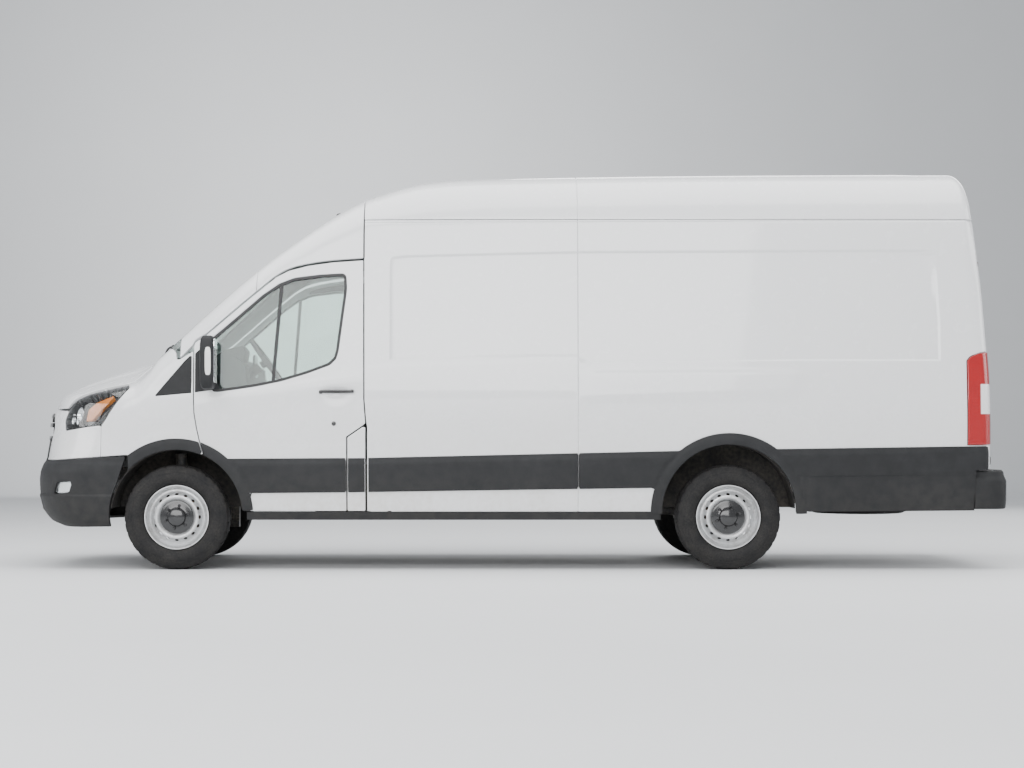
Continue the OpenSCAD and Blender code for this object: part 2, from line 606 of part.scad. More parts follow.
// Lamp at the rear corner, in side view
module tail_lamp_outline(grow = 0) {
  offset(delta = grow) polygon([
    [rear_x - 312, 848], [rear_x - 312, 1418], [rear_x - 290, 1446], [rear_x - 240, 1468], [rear_x - 180, 1478],
    [rear_x, 1478], [rear_x, 848]
  ]);
}
module tail_lamps() {
  zs = [840, 1000, 1160, 1320, 1490];
  y = [for (z = zs) [for (c = concat([-240], rear_column)) reach([tail_edge(z) + c, 0, z], [0, -1, 0], 0, half_w + 40)]];
  cols = concat([-240], rear_column);
  color([0.7, 0.05, 0.05]) both_sides() pressed() intersection() {
    sheet_solid(
      [for (i = [0:4]) [for (j = [0:len(cols) - 1]) [tail_edge(zs[i]) + cols[j], -y[i][j] - 4, zs[i]]]],
      [for (i = [0:4]) [for (j = [0:len(cols) - 1]) [tail_edge(zs[i]) + cols[j], -y[i][j] + wall_t, zs[i]]]]
    );
    side_cut() tail_lamp_outline();
    tail_post();
  }
}
plate_w = 330;
plate_h = 170;
plate_pos = [rear_x - 114, -450, 960];
// Bracket for a number plate, with its four screw holes
module plate_holder() {
  color([0.1, 0.1, 0.1]) translate(plate_pos) rotate([0, 90, 0]) difference() {
    translate([-plate_h / 2, -plate_w / 2, 0]) cube([plate_h, plate_w, 8]);
    for (sy = [-1, 1]) for (sz = [-1, 1]) translate([sz * 60.5, sy * 89, -1]) cylinder(r = 3.5, h = 10);
  }
}
module rear_bumper() {
  bump = [[rear_x - 40, -980], [rear_x, -820], [rear_x, 820], [rear_x - 40, 980]];
  color([0.13, 0.13, 0.14]) difference() {
    translate([0, 0, 408]) linear_extrude(bumper_step_z - seam - 408) polygon(concat(
      [[rear_x - 250, -1004]], [[rear_x - 90, -1002]], bump, [[rear_x - 90, 1002], [rear_x - 250, 1004]],
      [[rear_x - 250, 960], [rear_x - 150, 940], [rear_x - 150, -940], [rear_x - 250, -960]]));
    block([rear_x - 80, rear_x + 10], [-700, 700], [560, 620]);
  }
}

// ---- front bumper and cladding ----

module front_bumper() {
  color([0.13, 0.13, 0.14]) pressed() intersection() {
    nose_slab(concat(steps(-89, -60, 4), steps(-50, 50, 12), steps(60, 89, 4)), [292, 340, 400, 470, 540, 640, 700, 748, 790], panel_t, 14);
    across() difference() {
      polygon([[fa - 1200, 292], [fa - 420, 292], [fa - 420, 530], [fa - 337, 774], [fa - 880, 738], [fa - 1200, 738]]);
      front_arch(front_arch_r + 10);
    }
    front_cut(front_x - 50, fa) difference() {
      translate([-1400, 0]) square([2800, 2000]);
      offset(delta = seam) grille_outline();
      lower_intake();
    }
  }
}
module lower_intake() {
  offset(r = 30, $fn = 24) offset(delta = -30) polygon([[-520, 600], [520, 600], [600, 430], [-600, 430]]);
}
module arch_trim(r_in, r_out) { difference() { circle(r = r_out); circle(r = r_in); } }
module front_trim_outline() {
  difference() {
    translate([fa, front_arch_z]) arch_trim(front_arch_r, front_arch_r + arch_trim_w);
    translate([fa - 700, 0]) square([1400, sill_z + 4]);
    translate([fa - 700, 0]) square([363, 782]);
  }
}
module side_clad_outline() {
  difference() {
    union() {
      polygon([[bp - 1500, sill_z + clad_low - 10], [bp - 1500, sill_z + clad_high - 14], [bp, sill_z + clad_high - 6],
               [ra, sill_z + clad_high + 50], [ra, sill_z + clad_low + 40], [bp, sill_z + clad_low + 4]]);
      polygon([[ra, sill_z + clad_high + 50], [rear_x - 118, sill_z + clad_high + 76], [rear_x - 118, bumper_step_z],
               [rear_x - 260, bumper_step_z], [rear_x - 260, sill_z + 8], [ra, sill_z - 6]]);
      translate([ra, rear_arch_z]) circle(r = rear_arch_r + arch_trim_w);
    }
    rear_arch(rear_arch_r);
    translate([ra - rear_arch_r, 0]) square([2 * rear_arch_r, rear_arch_z]);
    translate([ra - 900, 0]) square([1800, sill_z - 14]);
    translate([bp - 3000, 0]) square([ra - bp + 3000 - rear_arch_r - arch_trim_w - 20, sill_z + 2]);
  }
}
module clad_slab() {
  side_slab(concat(steps(bp - 10, ra - 600, 2), steps(ra - 200, rear_x - 230, 3),
                   [rear_x - 200, rear_x - 172, rear_x - 158, rear_x - 150]), [sill_z - 20, 520, 700, 960], -3, clad_t);
}
module body_cladding() {
  color([0.13, 0.13, 0.14]) {
    both_sides() pressed() intersection() {
      clad_slab();
      side_cut() difference() {
        side_clad_outline();
        offset(delta = seam) door_outline(false);
        offset(delta = shut_gap) flap_outline();
        translate([bp - 3000, 0]) square([3000 + 26, 2000]);
      }
    }
    both_sides() pressed() intersection() {
      side_slab(steps(fa - 350, fa + 220, 7), [600, 700, 910], -3, clad_t);
      side_cut() difference() {
        front_trim_outline();
        offset(delta = shut_gap / 2) door_outline();
      }
    }
  }
}
module door_cladding(notch) {
  pressed() intersection() {
    side_slab(steps(fa + 130, bp + 30, 6), [sill_z - 5, 520, 700, 910], -3, clad_t);
    side_cut() intersection() {
      offset(delta = -shut_gap / 2 - 1) door_outline(notch);
      union() {
        front_trim_outline();
        difference() {
          side_clad_outline();
          front_arch(front_arch_r + arch_trim_w - 2);
        }
      }
    }
  }
}
module driver_door_cladding() { color([0.13, 0.13, 0.14]) door_cladding(true); }
module passenger_door_cladding() { color([0.13, 0.13, 0.14]) right_hand() door_cladding(false); }

// Mirror head on an arm from the corner of the door
mirror_x = fa + 238;
module mirror_head() {
  y_in = -half_w - 62;
  union() {
    hull() for (z = [1258, 1544]) for (y = [y_in, y_in - 148]) translate([mirror_x, y, z]) sphere(r = 38, $fn = 16);
    hull() { translate([mirror_x, y_in, 1330]) sphere(r = 26, $fn = 12); translate([mirror_x - 16, -half_w + 6, 1312]) sphere(r = 18, $fn = 12); }
  }
}
module left_mirror() { color([0.08, 0.08, 0.08]) pressed() mirror_cut(); }
module right_mirror() { color([0.08, 0.08, 0.08]) right_hand() pressed() mirror_cut(); }
module mirror_cut() {
  difference() {
    mirror_head();
    block([fa, fa + 500], [-half_w + 28 + 2, 0], [1000, 1700]);
  }
}

// ---- floor, inner panels and cabin ----

rail_y = [400, 470];
floor_half = half_w - wall_t - 36;
sill_y = [half_w - 180, half_w - 115];
sill_x = [fa + front_arch_r + 60, ra - 860];
plate = 30;
module floor() {
  cab_x = fa + front_arch_r + 40;
  color([0.45, 0.46, 0.48]) union() {
    difference() {
      block([bp - 40, rear_x - 208], [-floor_half, floor_half], [floor_z - plate, floor_z]);
      for (s = [-1, 1]) translate([ra, s * half_w, rear_arch_z]) rotate([90, 0, 0])
        cylinder(r = rear_arch_r + 22, h = 2 * (half_w - tub_y + 6), center = true);
    }
    // the cab floor lies a little lower
    block([fa + 60, cab_x + 1], [-front_tub_y + 12, front_tub_y - 12], [floor_z - plate, floor_z - 8]);
    block([cab_x, bp - 39], [30 - floor_half, floor_half - 30], [floor_z - plate, floor_z - 8]);
    for (s = [0, 1]) mirror([0, s, 0]) {
      block([fa - 660, rear_x - 208], rail_y, [floor_z - 120, floor_z - plate + 1]);
      block(sill_x, sill_y, [sill_z + 36, floor_z - plate + 1]);
      for (x = [sill_x[0] + 60, sill_x[1] - 180]) block([x, x + 120], [sill_y[0] + 8, sill_y[1] - 8], [sill_z + 25, sill_z + 37]);
    }
    for (x = [fa - 655, bp + 200, ra - 800, rear_x - 260])
      block([x, x + 60], [-rail_y[0] - 1, rail_y[0] + 1], [floor_z - 100, floor_z - 50]);
  }
}
tub_y = track / 2 - tyre_w / 2 - 62;
front_tub_y = track / 2 - tyre_w / 2 - 215;
module tub(cx, cz, r, y_in, y_out, low) {
  translate([cx, -y_in, cz]) rotate([90, 0, 0]) difference() {
    cylinder(r = r + 8, h = y_out - y_in);
    translate([0, 0, 8]) cylinder(r = r, h = y_out);
    translate([-2 * r, -2 * r - (cz - low), -1]) cube([4 * r, 2 * r, y_out]);
  }
}
module wheel_liners() {
  color([0.05, 0.05, 0.05]) both_sides() {
    tub(fa, front_arch_z, front_arch_r - 2, front_tub_y, half_w - 78, axle_z + 60);
    tub(ra, rear_arch_z, rear_arch_r - 2, tub_y, half_w - wall_t - 44, axle_z + 60);
  }
}
module firewall() {
  color([0.35, 0.36, 0.38]) union() {
    block([fa - 20, fa + 10], [-front_tub_y + 12, front_tub_y - 12], [floor_z + 4, 1385]);
    block([fa - 20, fa + 10], [-half_w + 130, half_w - 130], [front_arch_z + front_arch_r + 20, 1385]);
    block([fa - 160, fa - 18], [-half_w + 200, half_w - 200], [1325, 1350]);
  }
}
module dashboard() {
  hump = [[fa + 30, 1395], [fa + 60, 1432], [fa + 220, 1462], [fa + 380, 1452], [fa + 452, 1400], [fa + 470, 1250], [fa + 400, 1040],
          [fa + 320, 980], [fa + 120, 940], [fa + 30, 1000]];
  color([0.09, 0.09, 0.1]) union() {
    side_cut(-half_w + 170, half_w - 170) polygon(hump);
    // instrument hood ahead of the driver
    side_cut(-660, -300) polygon([[fa + 200, 1440], [fa + 300, 1505], [fa + 420, 1530], [fa + 440, 1500], [fa + 425, 1400]]);
    rod(column_foot, column_top, 34);
  }
}
column_rise = 36;
wheel_hub = [fa + 576, -480, 1427];
column_dir = [-cos(column_rise), 0, -sin(column_rise)];
column_top = wheel_hub + 62 * column_dir;
column_foot = wheel_hub + 260 * column_dir;
module steering_wheel() {
  color([0.07, 0.07, 0.07]) translate(wheel_hub) multmatrix(column_frame) union() {
    rotate_extrude($fn = 64) translate([186, 0]) circle(r = 15, $fn = 24);
    cylinder(r = 62, h = 40, center = true);
    translate([0, 0, -50]) cylinder(r = 26, h = 40);
    for (a = [0, 180, 270]) rotate(a) translate([40, -16, -6]) cube([140, 32, 12]);
  }
}
// Turns +Z to point from the hub back along the column, away from the dashboard
column_frame = [
  [sin(column_rise), 0, cos(column_rise), 0],
  [0, 1, 0, 0],
  [-cos(column_rise), 0, sin(column_rise), 0],
  [0, 0, 0, 1]
];
module seat() {
  union() {
    side_cut(-235, 235) offset(r = 40) offset(delta = -40)
      polygon([[fa + 650, 930], [fa + 650, 1050], [fa + 700, 1090], [bp - 90, 1070], [bp - 60, 930]]);
    side_cut(-230, 230) offset(r = 40) offset(delta = -40)
      polygon([[bp - 150, 1030], [bp - 45, 1660], [bp + 60, 1700], [bp + 110, 1660], [bp - 10, 980], [bp - 100, 960]]);
    side_cut(-130, 130) offset(r = 36) offset(delta = -36)
      polygon([[bp + 44, 1730], [bp + 62, 1860], [bp + 120, 1872], [bp + 140, 1740], [bp + 90, 1716]]);
    for (y = [-60, 60]) rod([bp + 66, y, 1650], [bp + 88, y, 1760], 8);
    block([fa + 760, bp - 120], [-150, 150], [floor_z + 2, 940]);
  }
}
module seats() {
  color([0.12, 0.12, 0.13]) for (s = [-1, 1]) translate([0, s * 480, 0]) seat();
}

// ---- running gear ----

kingpin_y = track / 2 - 95;
// Wheel parts turn about +Y and are drawn with their outer side towards +Z first
module wheel_place(x, side) { translate([x, side * track / 2, axle_z]) rotate([side < 0 ? 90 : -90, 0, 0]) children(); }
module tyre() {
  r = tyre_d / 2;
  b = rim_d / 2 + 4;
  h = tyre_w / 2;
  rotate_extrude() polygon([
    [b, -h + 44], [b + 15, -h + 43], [b + 18, -h + 20], [b + 38, -h + 4], [b + 60, -h], [r - 62, -h + 3], [r - 26, -h + 12], [r - 8, -h + 26], [r, -h + 48],
    [r, h - 48], [r - 8, h - 26], [r - 26, h - 12], [r - 62, h - 3], [b + 60, h], [b + 38, h - 4], [b + 18, h - 20], [b + 15, h - 43], [b, h - 44]
  ]);
}
module rim() {
  r = rim_d / 2;
  w = 84;
  difference() {
    rotate_extrude() polygon([
      [r + 14, -w - 8], [r + 16, -w], [r + 2, -w + 8], [r + 2, -w + 26], [r - 26, -w + 44], [r - 26, w - 50], [r + 2, w - 30],
      [r + 2, w - 8], [r + 16, w], [r + 14, w + 8], [r + 4, w + 4], [r - 6, w - 10], [r - 12, w - 30], [r - 40, w - 34],
      [136, w + 2], [126, w + 4], [118, w - 10], [0, w - 10], [0, w - 34], [100, w - 34], [110, w - 30], [128, w - 18],
      [r - 50, w - 54], [r - 34, w - 60], [r - 34, -w + 40], [r - 10, -w + 22], [r - 6, -w - 4]
    ]);
    for (i = [0:15]) rotate(i * 22.5) translate([r - 52, 0, 0]) cylinder(r = 10, h = 100, $fn = 24);
  }
}
// Brake disc and hub behind the wheel disc, joined to it
module hub_disc() {
  rotate_extrude() polygon([[0, 20], [64, 20], [64, 50], [0, 50]]);
  rotate_extrude() polygon([[58, -12], [150, -12], [150, 12], [72, 12], [72, 30], [58, 30]]);
}
module rim_and_disc() { color([0.72, 0.73, 0.75]) union() { rim(); hub_disc(); } }
module knuckle(s) {
  color([0.3, 0.3, 0.32]) union() {
    translate([fa, s * (track / 2 - 14), axle_z]) rotate([s * 90, 0, 0]) cylinder(r = 50, h = track / 2 - 14 - (kingpin_y - 55));
    block_y = s < 0 ? [-kingpin_y - 24, -kingpin_y + 24] : [kingpin_y - 24, kingpin_y + 24];
    block([fa - 34, fa + 34], block_y, [axle_z - 118, axle_z + 118]);
    block([fa + 20, fa + 130], block_y, [axle_z - 40, axle_z - 12]);
  }
}
module front_suspension() {
  color([0.16, 0.16, 0.17]) union() {
    block([fa - 90, fa + 90], [-380, 380], [axle_z - 150, axle_z - 60]);
    for (s = [-1, 1]) {
      hull() {
        translate([fa - 80, s * 360, axle_z - 162]) cylinder(r = 30, h = 34, $fn = 24);
        translate([fa + 80, s * 360, axle_z - 162]) cylinder(r = 30, h = 34, $fn = 24);
        translate([fa, s * kingpin_y, axle_z - 162]) cylinder(r = 24, h = 34, $fn = 24);
      }
      for (x = [-300, 240]) block([fa + x, fa + x + 60], s < 0 ? [-rail_y[1] + 6, -rail_y[0] + 10] : [rail_y[0] - 10, rail_y[1] - 6], [axle_z - 100, floor_z - 124]);
      block([fa - 300, fa + 300], s < 0 ? [-rail_y[1] + 6, -rail_y[0] + 40] : [rail_y[0] - 40, rail_y[1] - 6], [axle_z - 120, axle_z - 70]);
      rod([fa, s * (kingpin_y - 118), axle_z + 120], [fa, s * (kingpin_y - 118), front_arch_z + front_arch_r - 30], 42);
      rod([fa, s * (kingpin_y - 118), axle_z - 110], [fa, s * (kingpin_y - 118), axle_z + 130], 26);
    }
  }
}
spring_y = 575;
module rear_axle() {
  color([0.14, 0.14, 0.15]) union() {
    translate([ra, 0, axle_z]) rotate([90, 0, 0]) cylinder(r = 46, h = track - 36, center = true);
    translate([ra, 0, axle_z]) sphere(r = 142);
    rod([ra - 120, 0, axle_z + 6], [ra - 240, 0, axle_z + 14], 58);
    rod([ra - 235, 0, axle_z + 14], [fa + 838, 0, floor_z - 190], 36);
    for (s = [-1, 1]) {
      block([ra - 640, ra + 640], s < 0 ? [-spring_y - 32, -spring_y + 32] : [spring_y - 32, spring_y + 32], [axle_z + 84, axle_z + 112]);
      block([ra - 60, ra + 60], s < 0 ? [-spring_y - 40, -spring_y + 40] : [spring_y - 40, spring_y + 40], [axle_z - 56, axle_z + 90]);
      for (x = [-640, 580]) block([ra + x, ra + x + 60], s < 0 ? [-spring_y - 30, -spring_y + 30] : [spring_y - 30, spring_y + 30], [axle_z + 90, floor_z - 34]);
    }
  }
}
module engine() {
  color([0.4, 0.4, 0.42]) union() {
    block([fa - 560, fa - 60], [-270, 270], [500, 1040]);
    block([fa - 62, fa + 830], [-150, 150], [floor_z - 290, floor_z - 60]);
  }
}
module exhaust() {
  color([0.5, 0.5, 0.5]) union() {
    rod([fa - 200, 330, 470], [bp + 300, 330, 470], 32);
    translate([bp + 290, 330, 470]) rotate([0, 90, 0]) cylinder(r = 46, h = 60);
    translate([bp + 340, 320, 480]) rotate([0, 90, 0]) cylinder(r = 74, h = 700);
    rod([bp + 1030, 330, 470], [ra - 780, 330, 470], 32);
    translate([ra - 780, 330, 470]) sphere(r = 34);
    rod([ra - 780, 330, 470], [ra - 740, 900, 460], 32);
  }
}
module fuel_tank() {
  color([0.08, 0.08, 0.08]) translate([0, 0, 390]) linear_extrude(floor_z - plate - 402) offset(r = 50) offset(delta = -50)
    polygon([[bp - 340, -rail_y[1] - 20], [bp + 840, -rail_y[1] - 20], [bp + 840, 15 - sill_y[0]], [bp - 340, 15 - sill_y[0]]]);
}
module spare_wheel() {
  color([0.1, 0.1, 0.1]) translate([(ra + 200 + rear_x - 150) / 2 + 60, 0, floor_z - 250]) union() {
    tyre();
    difference() {
      cylinder(r = rim_d / 2 + 6, h = 110, center = true);
      translate([0, 0, 20]) cylinder(r = rim_d / 2 - 30, h = 60);
    }
  }
}

floor();
left_side();
right_side();
windshield_pillars();
cab_roof();
cargo_roof();
fenders();
front_fascia();
grille();
headlamps();
hood();
cowl();
windshield();
firewall();
wheel_liners();
front_bumper();
rear_bumper();
driver_door();
passenger_door();
driver_window();
passenger_window();
fuel_flap();
sliding_door();
left_rear_door();
right_rear_door();
tail_lamps();
left_mirror();
right_mirror();
body_cladding();
driver_door_cladding();
passenger_door_cladding();
plate_holder();
color([0.05, 0.05, 0.05]) wheel_place(fa, -1) tyre();  // front_left_tyre
wheel_place(fa, -1) rim_and_disc();  // front_left_rim
color([0.05, 0.05, 0.05]) wheel_place(fa, 1) tyre();  // front_right_tyre
wheel_place(fa, 1) rim_and_disc();  // front_right_rim
color([0.05, 0.05, 0.05]) wheel_place(ra, -1) tyre();  // rear_left_tyre
wheel_place(ra, -1) rim_and_disc();  // rear_left_rim
color([0.05, 0.05, 0.05]) wheel_place(ra, 1) tyre();  // rear_right_tyre
wheel_place(ra, 1) rim_and_disc();  // rear_right_rim
knuckle(-1);  // left_knuckle
knuckle(1);  // right_knuckle
front_suspension();
rear_axle();
engine();
exhaust();
fuel_tank();
spare_wheel();
dashboard();
steering_wheel();
seats();
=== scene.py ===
# A high-roofed cargo van, from its underbody to its paint.
# Lengths in the shape functions are millimetres; a mesh is turned into metres when it is made.
import math
import bpy
import numpy as np
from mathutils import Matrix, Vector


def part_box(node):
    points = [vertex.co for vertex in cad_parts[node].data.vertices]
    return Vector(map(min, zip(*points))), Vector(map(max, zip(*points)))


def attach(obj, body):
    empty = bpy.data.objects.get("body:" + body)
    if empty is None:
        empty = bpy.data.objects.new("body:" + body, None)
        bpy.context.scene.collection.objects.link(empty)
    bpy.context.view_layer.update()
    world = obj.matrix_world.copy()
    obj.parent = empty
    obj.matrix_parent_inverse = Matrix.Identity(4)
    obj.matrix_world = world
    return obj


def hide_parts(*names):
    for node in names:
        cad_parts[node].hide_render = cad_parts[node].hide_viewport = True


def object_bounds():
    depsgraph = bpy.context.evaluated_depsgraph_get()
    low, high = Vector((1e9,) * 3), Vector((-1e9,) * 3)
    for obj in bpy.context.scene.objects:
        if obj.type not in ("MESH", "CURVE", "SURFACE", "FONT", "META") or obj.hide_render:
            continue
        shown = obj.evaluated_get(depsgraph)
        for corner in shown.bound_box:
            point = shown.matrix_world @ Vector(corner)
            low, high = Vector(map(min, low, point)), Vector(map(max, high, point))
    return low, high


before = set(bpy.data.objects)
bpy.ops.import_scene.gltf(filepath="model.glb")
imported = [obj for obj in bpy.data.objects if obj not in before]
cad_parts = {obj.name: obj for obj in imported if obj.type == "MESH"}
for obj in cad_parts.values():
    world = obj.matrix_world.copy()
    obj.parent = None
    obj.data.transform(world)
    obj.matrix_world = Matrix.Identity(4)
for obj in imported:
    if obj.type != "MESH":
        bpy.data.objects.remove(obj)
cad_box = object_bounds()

# ---- Underbody ----
# Ladder of pressed rails and cross members under a sheet steel floor, with an inner panel behind the engine.
# It is spot welded and dipped in primer, then sprayed with a satin black coat that collects road dust.


class Signal:
    """A value inside a material. Sums, products and comparisons of signals add Math nodes."""

    def __init__(self, tree, socket=None):
        self.tree, self.socket = tree, socket

    def make(self, kind, settings, sockets, out=0):
        """Adds one node of a kind, sets it up, fills its sockets and gives back one of its outputs."""
        node = self.tree.nodes.new("ShaderNode" + kind)
        for key, value in settings.items():
            if key == "stops":
                ramp = node.color_ramp.elements
                while len(ramp) < len(value):
                    ramp.new(0.5)
                for stop, (place, tone) in zip(ramp, value):
                    stop.position, stop.color = place, (*tone, 1)
            else:
                setattr(node, key, value)
        for key, value in sockets.items():
            if isinstance(value, Signal):
                self.tree.links.new(value.socket, node.inputs[key])
            else:
                node.inputs[key].default_value = value
        return Signal(self.tree, node.outputs[out] if node.outputs else None)

    def math(self, operation, *terms):
        return self.make("Math", {"operation": operation}, dict(enumerate(terms)))

    def __add__(self, other):
        return self.math("ADD", self, other)

    def __sub__(self, other):
        return self.math("SUBTRACT", self, other)

    def __rsub__(self, other):
        return self.math("SUBTRACT", other, self)

    def __mul__(self, other):
        return self.math("MULTIPLY", self, other)

    __radd__, __rmul__ = __add__, __mul__

    def place(self):
        return self.make("TexCoord", {}, {}, "Object")

    def grain(self, scale, detail=3.0, stretch=None):
        """Noise about 1/scale metres coarse; stretch makes it longer along an axis."""
        at = self.place()
        if stretch:
            at = self.make("Mapping", {}, {"Vector": at, "Scale": stretch})
        return self.make("TexNoise", {}, {"Vector": at, "Scale": scale, "Detail": detail})

    def height(self):
        return self.make("SeparateXYZ", {}, {"Vector": self.place()}, "Z")

    def spread(self, low, high):
        """Rises from 0 to 1 as the signal goes from low to high."""
        return self.make("MapRange", {"clamp": True}, {"Value": self, "From Min": low, "From Max": high})

    def tint(self, first, second):
        """Colour between two, by the signal."""
        sides = {6 + i: c if isinstance(c, Signal) else (*c, 1) for i, c in enumerate((first, second))}
        return self.make("Mix", {"data_type": "RGBA"}, {0: self, **sides}, 2)

    def bump(self, depth, strength=1.0):
        """Surface direction over a relief of the signal, depth metres high."""
        return self.make("Bump", {}, {"Height": self, "Distance": depth, "Strength": strength})

    def surface(self, **sockets):
        """A whole material finish; the names are the shader's own with _ for a space."""
        names = {key.replace("_", " "): value for key, value in sockets.items()}
        names = {k: (*v, 1) if isinstance(v, tuple) and len(v) == 3 else v for k, v in names.items()}
        return self.make("BsdfPrincipled", {}, names)


def finish(name, recipe):
    """New material whose surface is what recipe returns."""
    made = bpy.data.materials.new(name)
    made.use_nodes = True
    made.node_tree.nodes.clear()
    start = Signal(made.node_tree)
    start.make("OutputMaterial", {}, {"Surface": recipe(start)})
    return made


def cover(material, *nodes):
    """Gives CAD nodes a material."""
    for node in nodes:
        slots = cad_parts[node].data.materials
        slots.clear()
        slots.append(material)


def coated_steel(s):
    dust = (s.grain(9, 6) * s.grain(70, 4)).spread(0.14, 0.42)
    return s.surface(
        Base_Color=dust.tint((0.022, 0.023, 0.025), (0.13, 0.115, 0.095)),
        Roughness=s.grain(30, 4).spread(-0.4, 1.3) * 0.5 + 0.22,
        Normal=s.grain(420, 3).bump(0.0004, 0.6),
    )


def primed_steel(s):
    scuff = (s.grain(4, 7) * s.grain(38, 5)).spread(0.2, 0.4)
    return s.surface(
        Base_Color=scuff.tint((0.30, 0.31, 0.32), (0.20, 0.19, 0.17)),
        Roughness=s.grain(22, 5) * 0.4 + 0.3,
        Normal=s.grain(160, 4).bump(0.0005, 0.5),
    )


underbody_coat = finish("underbody_coat", coated_steel)
floor_paint = finish("floor_paint", primed_steel)
cover(underbody_coat, "floor", "front_suspension", "rear_axle", "fuel_tank")
cover(floor_paint, "firewall")

# ---- Body shell ----
# Side walls, roof, pillars, fenders, bonnet and nose are pressed sheet steel, welded or bolted along seams
# with folded edges. They are painted gloss white over a clear coat and carry shallow stamped lines.

front_x, rear_x = (1000 * cad_box[i][0] for i in (0, 1))
roof_height = 1000 * cad_box[1][2]
front_axle, rear_axle = (500 * (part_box(n)[0][0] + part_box(n)[1][0])
                         for n in ("front_left_tyre", "rear_left_tyre"))
axle_z = 500 * (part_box("front_left_tyre")[0][2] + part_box("front_left_tyre")[1][2])
cab_length = 1272
door_post = front_axle + cab_length
half_width = 1030
sill_z = 395
gutter_z = roof_height - 363
glass_top_z, door_top_z = 2118, 2108
nose_start = front_axle - 283


def smooth_curve(*points):
    """Curve through points whose slope at a point is the harmonic mean of the slopes beside it, level
    past the ends."""
    x, y = np.array(points, float).T
    h, rise = np.diff(x), np.diff(y) / np.diff(x)
    turn = rise[:-1] * rise[1:]
    slope = np.r_[rise[0], np.where(turn > 0, 2 * turn / np.where(turn > 0, rise[:-1] + rise[1:], 1), 0),
                  rise[-1]]

    def at(q):
        q = np.clip(q, x[0], x[-1])
        i = np.clip(np.searchsorted(x, q, side="right") - 1, 0, len(h) - 1)
        t = (q - x[i]) / h[i]
        return (y[i] * (1 + 2 * t) * (1 - t) ** 2 + h[i] * slope[i] * t * (1 - t) ** 2
                + y[i + 1] * t * t * (3 - 2 * t) + h[i] * slope[i + 1] * t * t * (t - 1))

    return at


def cap(t):
    return glass_top_z + (roof_height - glass_top_z) * t


top_line = smooth_curve((front_axle - 1000, 1050), (front_axle - 975, 1082), (front_axle - 935, 1132),
                        (front_axle - 856, 1205), (front_axle - 766, 1252), (front_axle - 648, 1297),
                        (front_axle - 494, 1350), (front_axle - 286, 1416), (front_axle - 195, 1452),
                        (front_axle - 115, 1516), (front_axle + 248, 1842), (front_axle + 573, glass_top_z),
                        (front_axle + 809, cap(0.285)), (front_axle + 1061, cap(0.56)),
                        (front_axle + 1245, cap(0.72)), (front_axle + 1453, cap(0.83)),
                        (front_axle + 1660, cap(0.9)), (front_axle + 1900, cap(0.935)),
                        (front_axle + 2300, cap(0.953)), (front_axle + 3600, cap(0.982)),
                        (rear_x, roof_height))
crown_line = smooth_curve((front_axle - 975, 70), (front_axle - 300, 96), (front_axle - 115, 44),
                          (front_axle + 573, 40), (front_axle + 1245, 56), (front_axle + 1900, 42),
                          (rear_x, 40))
edge_line = smooth_curve((front_axle - 975, 55), (front_axle - 400, 90), (front_axle - 100, 100),
                         (front_axle + 573, 105), (front_axle + 1245, 170), (front_axle + 1900, 230),
                         (rear_x, 230))
side_line = smooth_curve((290, 62), (395, 40), (520, 22), (760, 4), (1000, 0), (1300, 12), (1450, 24),
                         (1800, 60), (2110, 96), (gutter_z, 130), (gutter_z + 70, 144), (roof_height, 196))
nose_line = smooth_curve((290, front_x + 190), (340, front_x + 96), (420, front_x + 40),
                         (520, front_x + 16), (640, front_x + 15), (700, front_x + 26), (760, front_x + 38),
                         (935, front_x + 30), (1040, front_x + 42), (1090, front_x + 66))
nose_power = smooth_curve((420, 3.3), (640, 3.3), (760, 2.6), (950, 2.08), (1100, 2.02))
tail_line = smooth_curve((400, rear_x - 116), (844, rear_x - 113), (1236, rear_x - 118),
                         (1578, rear_x - 138), (1912, rear_x - 162), (2148, rear_x - 189),
                         (2413, rear_x - 222), (2610, rear_x - 252), (roof_height, rear_x - 290))


def side_width(x, z):
    """Half width of the shell: its widest less the lean of the side and the draw towards both ends."""
    draw = 30 * (np.maximum(0, door_post + 60 - x) / 1600) ** 2
    draw = draw + 16 * (np.maximum(0, x - rear_axle - 900) / 800) ** 2
    return half_width - side_line(z) - draw


def fillet(a, b, r):
    """Larger of two gaps, rounded by the radius r where they meet."""
    return np.where((a > -r) & (b > -r), np.hypot(a + r, b + r) - r, np.maximum(a, b))


def skin_gap(p):
    """Distance outside the shell, below zero inside: a super-ellipse in plan and a crowned top line,
    filleted together and then with the bowed tail."""
    x, y, z = p[..., 0], np.abs(p[..., 1]) + 0.001, p[..., 2]
    d, w = np.maximum(0, nose_start - x), side_width(np.maximum(x, nose_start), z)
    n = nose_power(z)
    rho = ((d / (nose_start - nose_line(z))) ** n + (y / w) ** n) ** (1 / n)
    plan = (1 - 1 / rho) * np.hypot(d, y)
    steep = (top_line(x + 8) - top_line(x - 8)) / 16
    top = (z - top_line(x) + crown_line(x) * (y / 700) ** 2) / np.sqrt(1 + steep ** 2)
    tail = x - tail_line(z) + 28 * (y / 1000) ** 2
    return fillet(fillet(plan, top, edge_line(x)), tail, 68)


def reach(origin, along, far):
    """Point of the skin on each ray, found by halving the stretch from origin to far millimetres away."""
    low, high = np.zeros(len(origin)), np.full(len(origin), float(far))
    for _ in range(26):
        middle = (low + high) / 2
        inside = skin_gap(origin + middle[:, None] * along) < 0
        low, high = np.where(inside, middle, low), np.where(inside, high, middle)
    return origin + low[:, None] * along


